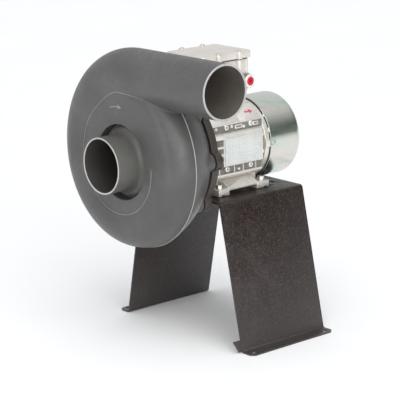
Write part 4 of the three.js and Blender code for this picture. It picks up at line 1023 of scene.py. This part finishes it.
# ---------------------------------------------------------------- pedestal
def pedestal_path():
    """The middle line of the bent sheet, seen along y."""
    low, high = FLOOR + SHEET_HALF, PED_TOP - SHEET_HALF
    right = [(PED_HALF, high, BEND), (LEG_HALF, low, BEND), (FLANGE_END, low)]
    left = [(-corner[0], *corner[1:]) for corner in right[::-1]]
    return [Vector(point) for point in rounded(left + right, 10, False)]


def build_pedestal():
    path = pedestal_path()
    sides = ([], [])
    for i, point in enumerate(path):
        along = (path[min(i + 1, len(path) - 1)] - path[max(i - 1, 0)]).normalized()
        across = Vector((-along.y, along.x)) * SHEET_HALF
        sides[0].append(tuple(point + across))
        sides[1].append(tuple(point - across))
    sheet = prism(sides[0] + sides[1][::-1], 0, PED_DEPTH, "y")
    lean = math.atan2(LEG_HALF - PED_HALF, PED_TOP - FLOOR)
    ear = prism([(2, 2.5), (2, 21), (-15, 21), (-6, 2.5)], -SHEET_HALF, SHEET_HALF, "x")
    ear.data.transform(Matrix.Translation((LEG_HALF, 0, FLOOR)) @ Matrix.Rotation(-lean, 4, "Y"))
    join(sheet, ear)
    tools = rods("z", 3.3, PED_TOP - 6, PED_TOP + 3, BOLTS, 28)
    for side in (-1, 1):
        tools += rods("z", 4.5, FLOOR - 2, FLOOR + 5, [(side * 160, y) for y in (12, PED_DEPTH - 12)], 36)
        tools.append(rod("z", 3.5, PED_TOP - 6, PED_TOP + 3, (side * 51, 156), 28, 0))
        for y, inward in ((0, 1), (PED_DEPTH, -1)):
            end = side * (FLANGE_END + 1)
            corner = [(end - side * 8, y - inward), (end, y - inward), (end, y + inward * 8)]
            tools.append(prism(corner, FLOOR - 2, FLOOR + 6, "z"))
    cut(sheet, *tools)
    soften(sheet, 0.35, 2, 60)
    finish_piece(sheet, "pedestal_bent_sheet", "pedestal_paint", ["pedestal"])


# ---------------------------------------------------------------- impeller
def build_impeller():
    plate = lathe(rounded([
        (11, -46), (20, -46, 1.5), (25, -40, 4), (WHEEL_RADIUS, -40, 0.6), (WHEEL_RADIUS, WHEEL_BACK, 0.6),
        (20, WHEEL_BACK, 1), (18, -32, 1), (11, -32),
    ], 4), 128)
    channel = [(11, -39), (79.5, -39), (79.5, -69.7), (EYE_RADIUS, -78.7), (EYE_RADIUS - 1, -78.7),
               (EYE_RADIUS - 1, -60), (11, -60)]
    vanes = []
    for i in range(8):
        left, right = [], []
        for k in range(17):
            t = k / 16
            x, z = polar(blend(46, 79, t), -38 * t ** 1.2)
            dx, dz = polar(1.2, 90 - 38 * t - 20)
            left.append((x - dx, z - dz))
            right.append((x + dx, z + dz))
        vane = prism(left + right[::-1], EYE_FRONT, WHEEL_BACK, "y")
        vanes.append(turned(common(vane, lathe(channel, 96)), 45 * i))
    join(plate, *vanes)
    finish_piece(plate, "impeller_moulded", "impeller_plastic", ["impeller"], body=ROTOR, angle=35)
    shroud = lathe(rounded([
        (EYE_RADIUS, EYE_FRONT, 0.8), (49.1, EYE_FRONT, 0.8), (49.1, -81, 4), (WHEEL_RADIUS, -72.6, 0.6),
        (WHEEL_RADIUS, -70, 0.6), (EYE_RADIUS, -79, 6),
    ], 5), 128)
    finish_piece(shroud, "impeller_shroud_moulded", "impeller_plastic", ["impeller_shroud"], body=ROTOR, angle=35)


# ---------------------------------------------------------------- CAD nodes that keep their shape
def paint_nodes():
    finishes = {
        "bearing": "bearing_steel", "stator_core": "lamination", "rotor_core": "lamination",
        "winding": "copper_wire", "lid_gasket": "black_rubber", "terminal_board": "board_plastic",
        "flange_screw": "fastener_zinc", "shaft_seal": "black_rubber", "motor_shaft": "shaft_steel",
        "impeller_hub": "shaft_steel", "hub_washer": "black_steel", "hub_bolt": "fastener_zinc",
        "cooling_fan": "fan_plastic", "fan_circlip": "shaft_steel",
    }
    for name, obj in frame["nodes"].items():
        for part, finish in finishes.items():
            if part in name and not obj.hide_render:
                obj.data.materials.clear()
                obj.data.materials.append(FINISHES[finish])


# ---------------------------------------------------------------- stage, light and camera
def build_stage():
    mesh = bpy.data.meshes.new("floor")
    mesh.from_pydata([(-14, -14, 0), (14, -14, 0), (14, 14, 0), (-14, 14, 0)], [], [(0, 1, 2, 3)])
    floor = bpy.data.objects.new("floor", mesh)
    bpy.context.scene.collection.objects.link(floor)
    mesh.materials.append(floor_finish("floor_paper"))
    bpy.context.scene.view_settings.view_transform = "Standard"


def build_world():
    """A pale room whose unlit side, behind the motor to the right, shows as a dark band in the bright metal."""
    world = bpy.data.worlds.new("studio")
    world.use_nodes = True
    nodes = Nodes(world.node_tree, "Generated")
    way = {0: nodes.place, 1: (0.77, 0.62, 0.15)}
    facing = nodes.add("ShaderNodeVectorMath", way, operation="DOT_PRODUCT").outputs["Value"]
    dark = nodes.math("MULTIPLY", nodes.spread(facing, 0.3, 0.8, interpolation_type="SMOOTHSTEP"),
                      nodes.spread(nodes.axes()["Z"], 0.82, 0.3, interpolation_type="SMOOTHSTEP"))
    room = nodes.mix(dark, (0.97, 0.98, 1.0), (0.13, 0.16, 0.14))
    seen = nodes.add("ShaderNodeLightPath").outputs["Is Camera Ray"]
    background = world.node_tree.nodes["Background"]
    background.inputs["Strength"].default_value = 0.78
    nodes.link(nodes.mix(seen, room, (1.28, 1.28, 1.28)), background.inputs["Color"])
    bpy.context.scene.world = world


def aim(light, way):
    """Adds a light that shines along way."""
    light.rotation_euler = Vector(way).to_track_quat("-Z", "Y").to_euler()
    bpy.context.scene.collection.objects.link(light)


def add_panel(name, size, power, place, target):
    data = bpy.data.lights.new(name, "AREA")
    data.shape = "RECTANGLE"
    data.size, data.size_y = size
    data.energy = power
    panel = bpy.data.objects.new(name, data)
    panel.location = place
    aim(panel, Vector(target) - Vector(place))


def build_lights():
    add_panel("strip", (0.45, 1.9), 7, (-0.35, -2.3, 0.95), (0.0, -0.1, 0.3))
    add_panel("side", (1.2, 1.6), 16, (2.3, -0.7, 1.0), (0.0, 0.05, 0.3))
    sun = bpy.data.lights.new("sun", "SUN")
    sun.energy = 1.7
    sun.angle = math.radians(75)
    aim(bpy.data.objects.new("sun", sun), (-0.75, 0.35, -0.72))


def build_camera():
    azimuth, elevation, roll = (math.radians(a) for a in (49.742, 14.277, -1.231))
    data = bpy.data.cameras.new("camera")
    data.sensor_width = 36
    data.lens = 158.97
    data.clip_end = 100
    camera = bpy.data.objects.new("camera", data)
    back = Vector((math.sin(azimuth) * math.cos(elevation), -math.cos(azimuth) * math.cos(elevation),
                   math.sin(elevation)))
    right = Vector((math.cos(azimuth), math.sin(azimuth), 0))
    up = back.cross(right)
    turn = Matrix((right, up, back)).transposed().to_4x4() @ Matrix.Rotation(roll, 4, "Z")
    place = Vector((2.1363, -1.7668, 0.9299)) + Vector((AXIS.x, AXIS.y, 0))
    camera.matrix_world = Matrix.Translation(place) @ turn
    bpy.context.scene.collection.objects.link(camera)
    bpy.context.scene.camera = camera


build_camera()
build_stage()
build_world()
build_lights()
build_casing()
build_seam()
build_spigot()
build_adaptor()
build_housing()
build_shields()
build_feet()
build_fasteners()
build_nameplate()
build_sticker()
build_cowl()
build_terminal_box()
build_lid()
build_gland()
build_pedestal()
build_impeller()
paint_nodes()
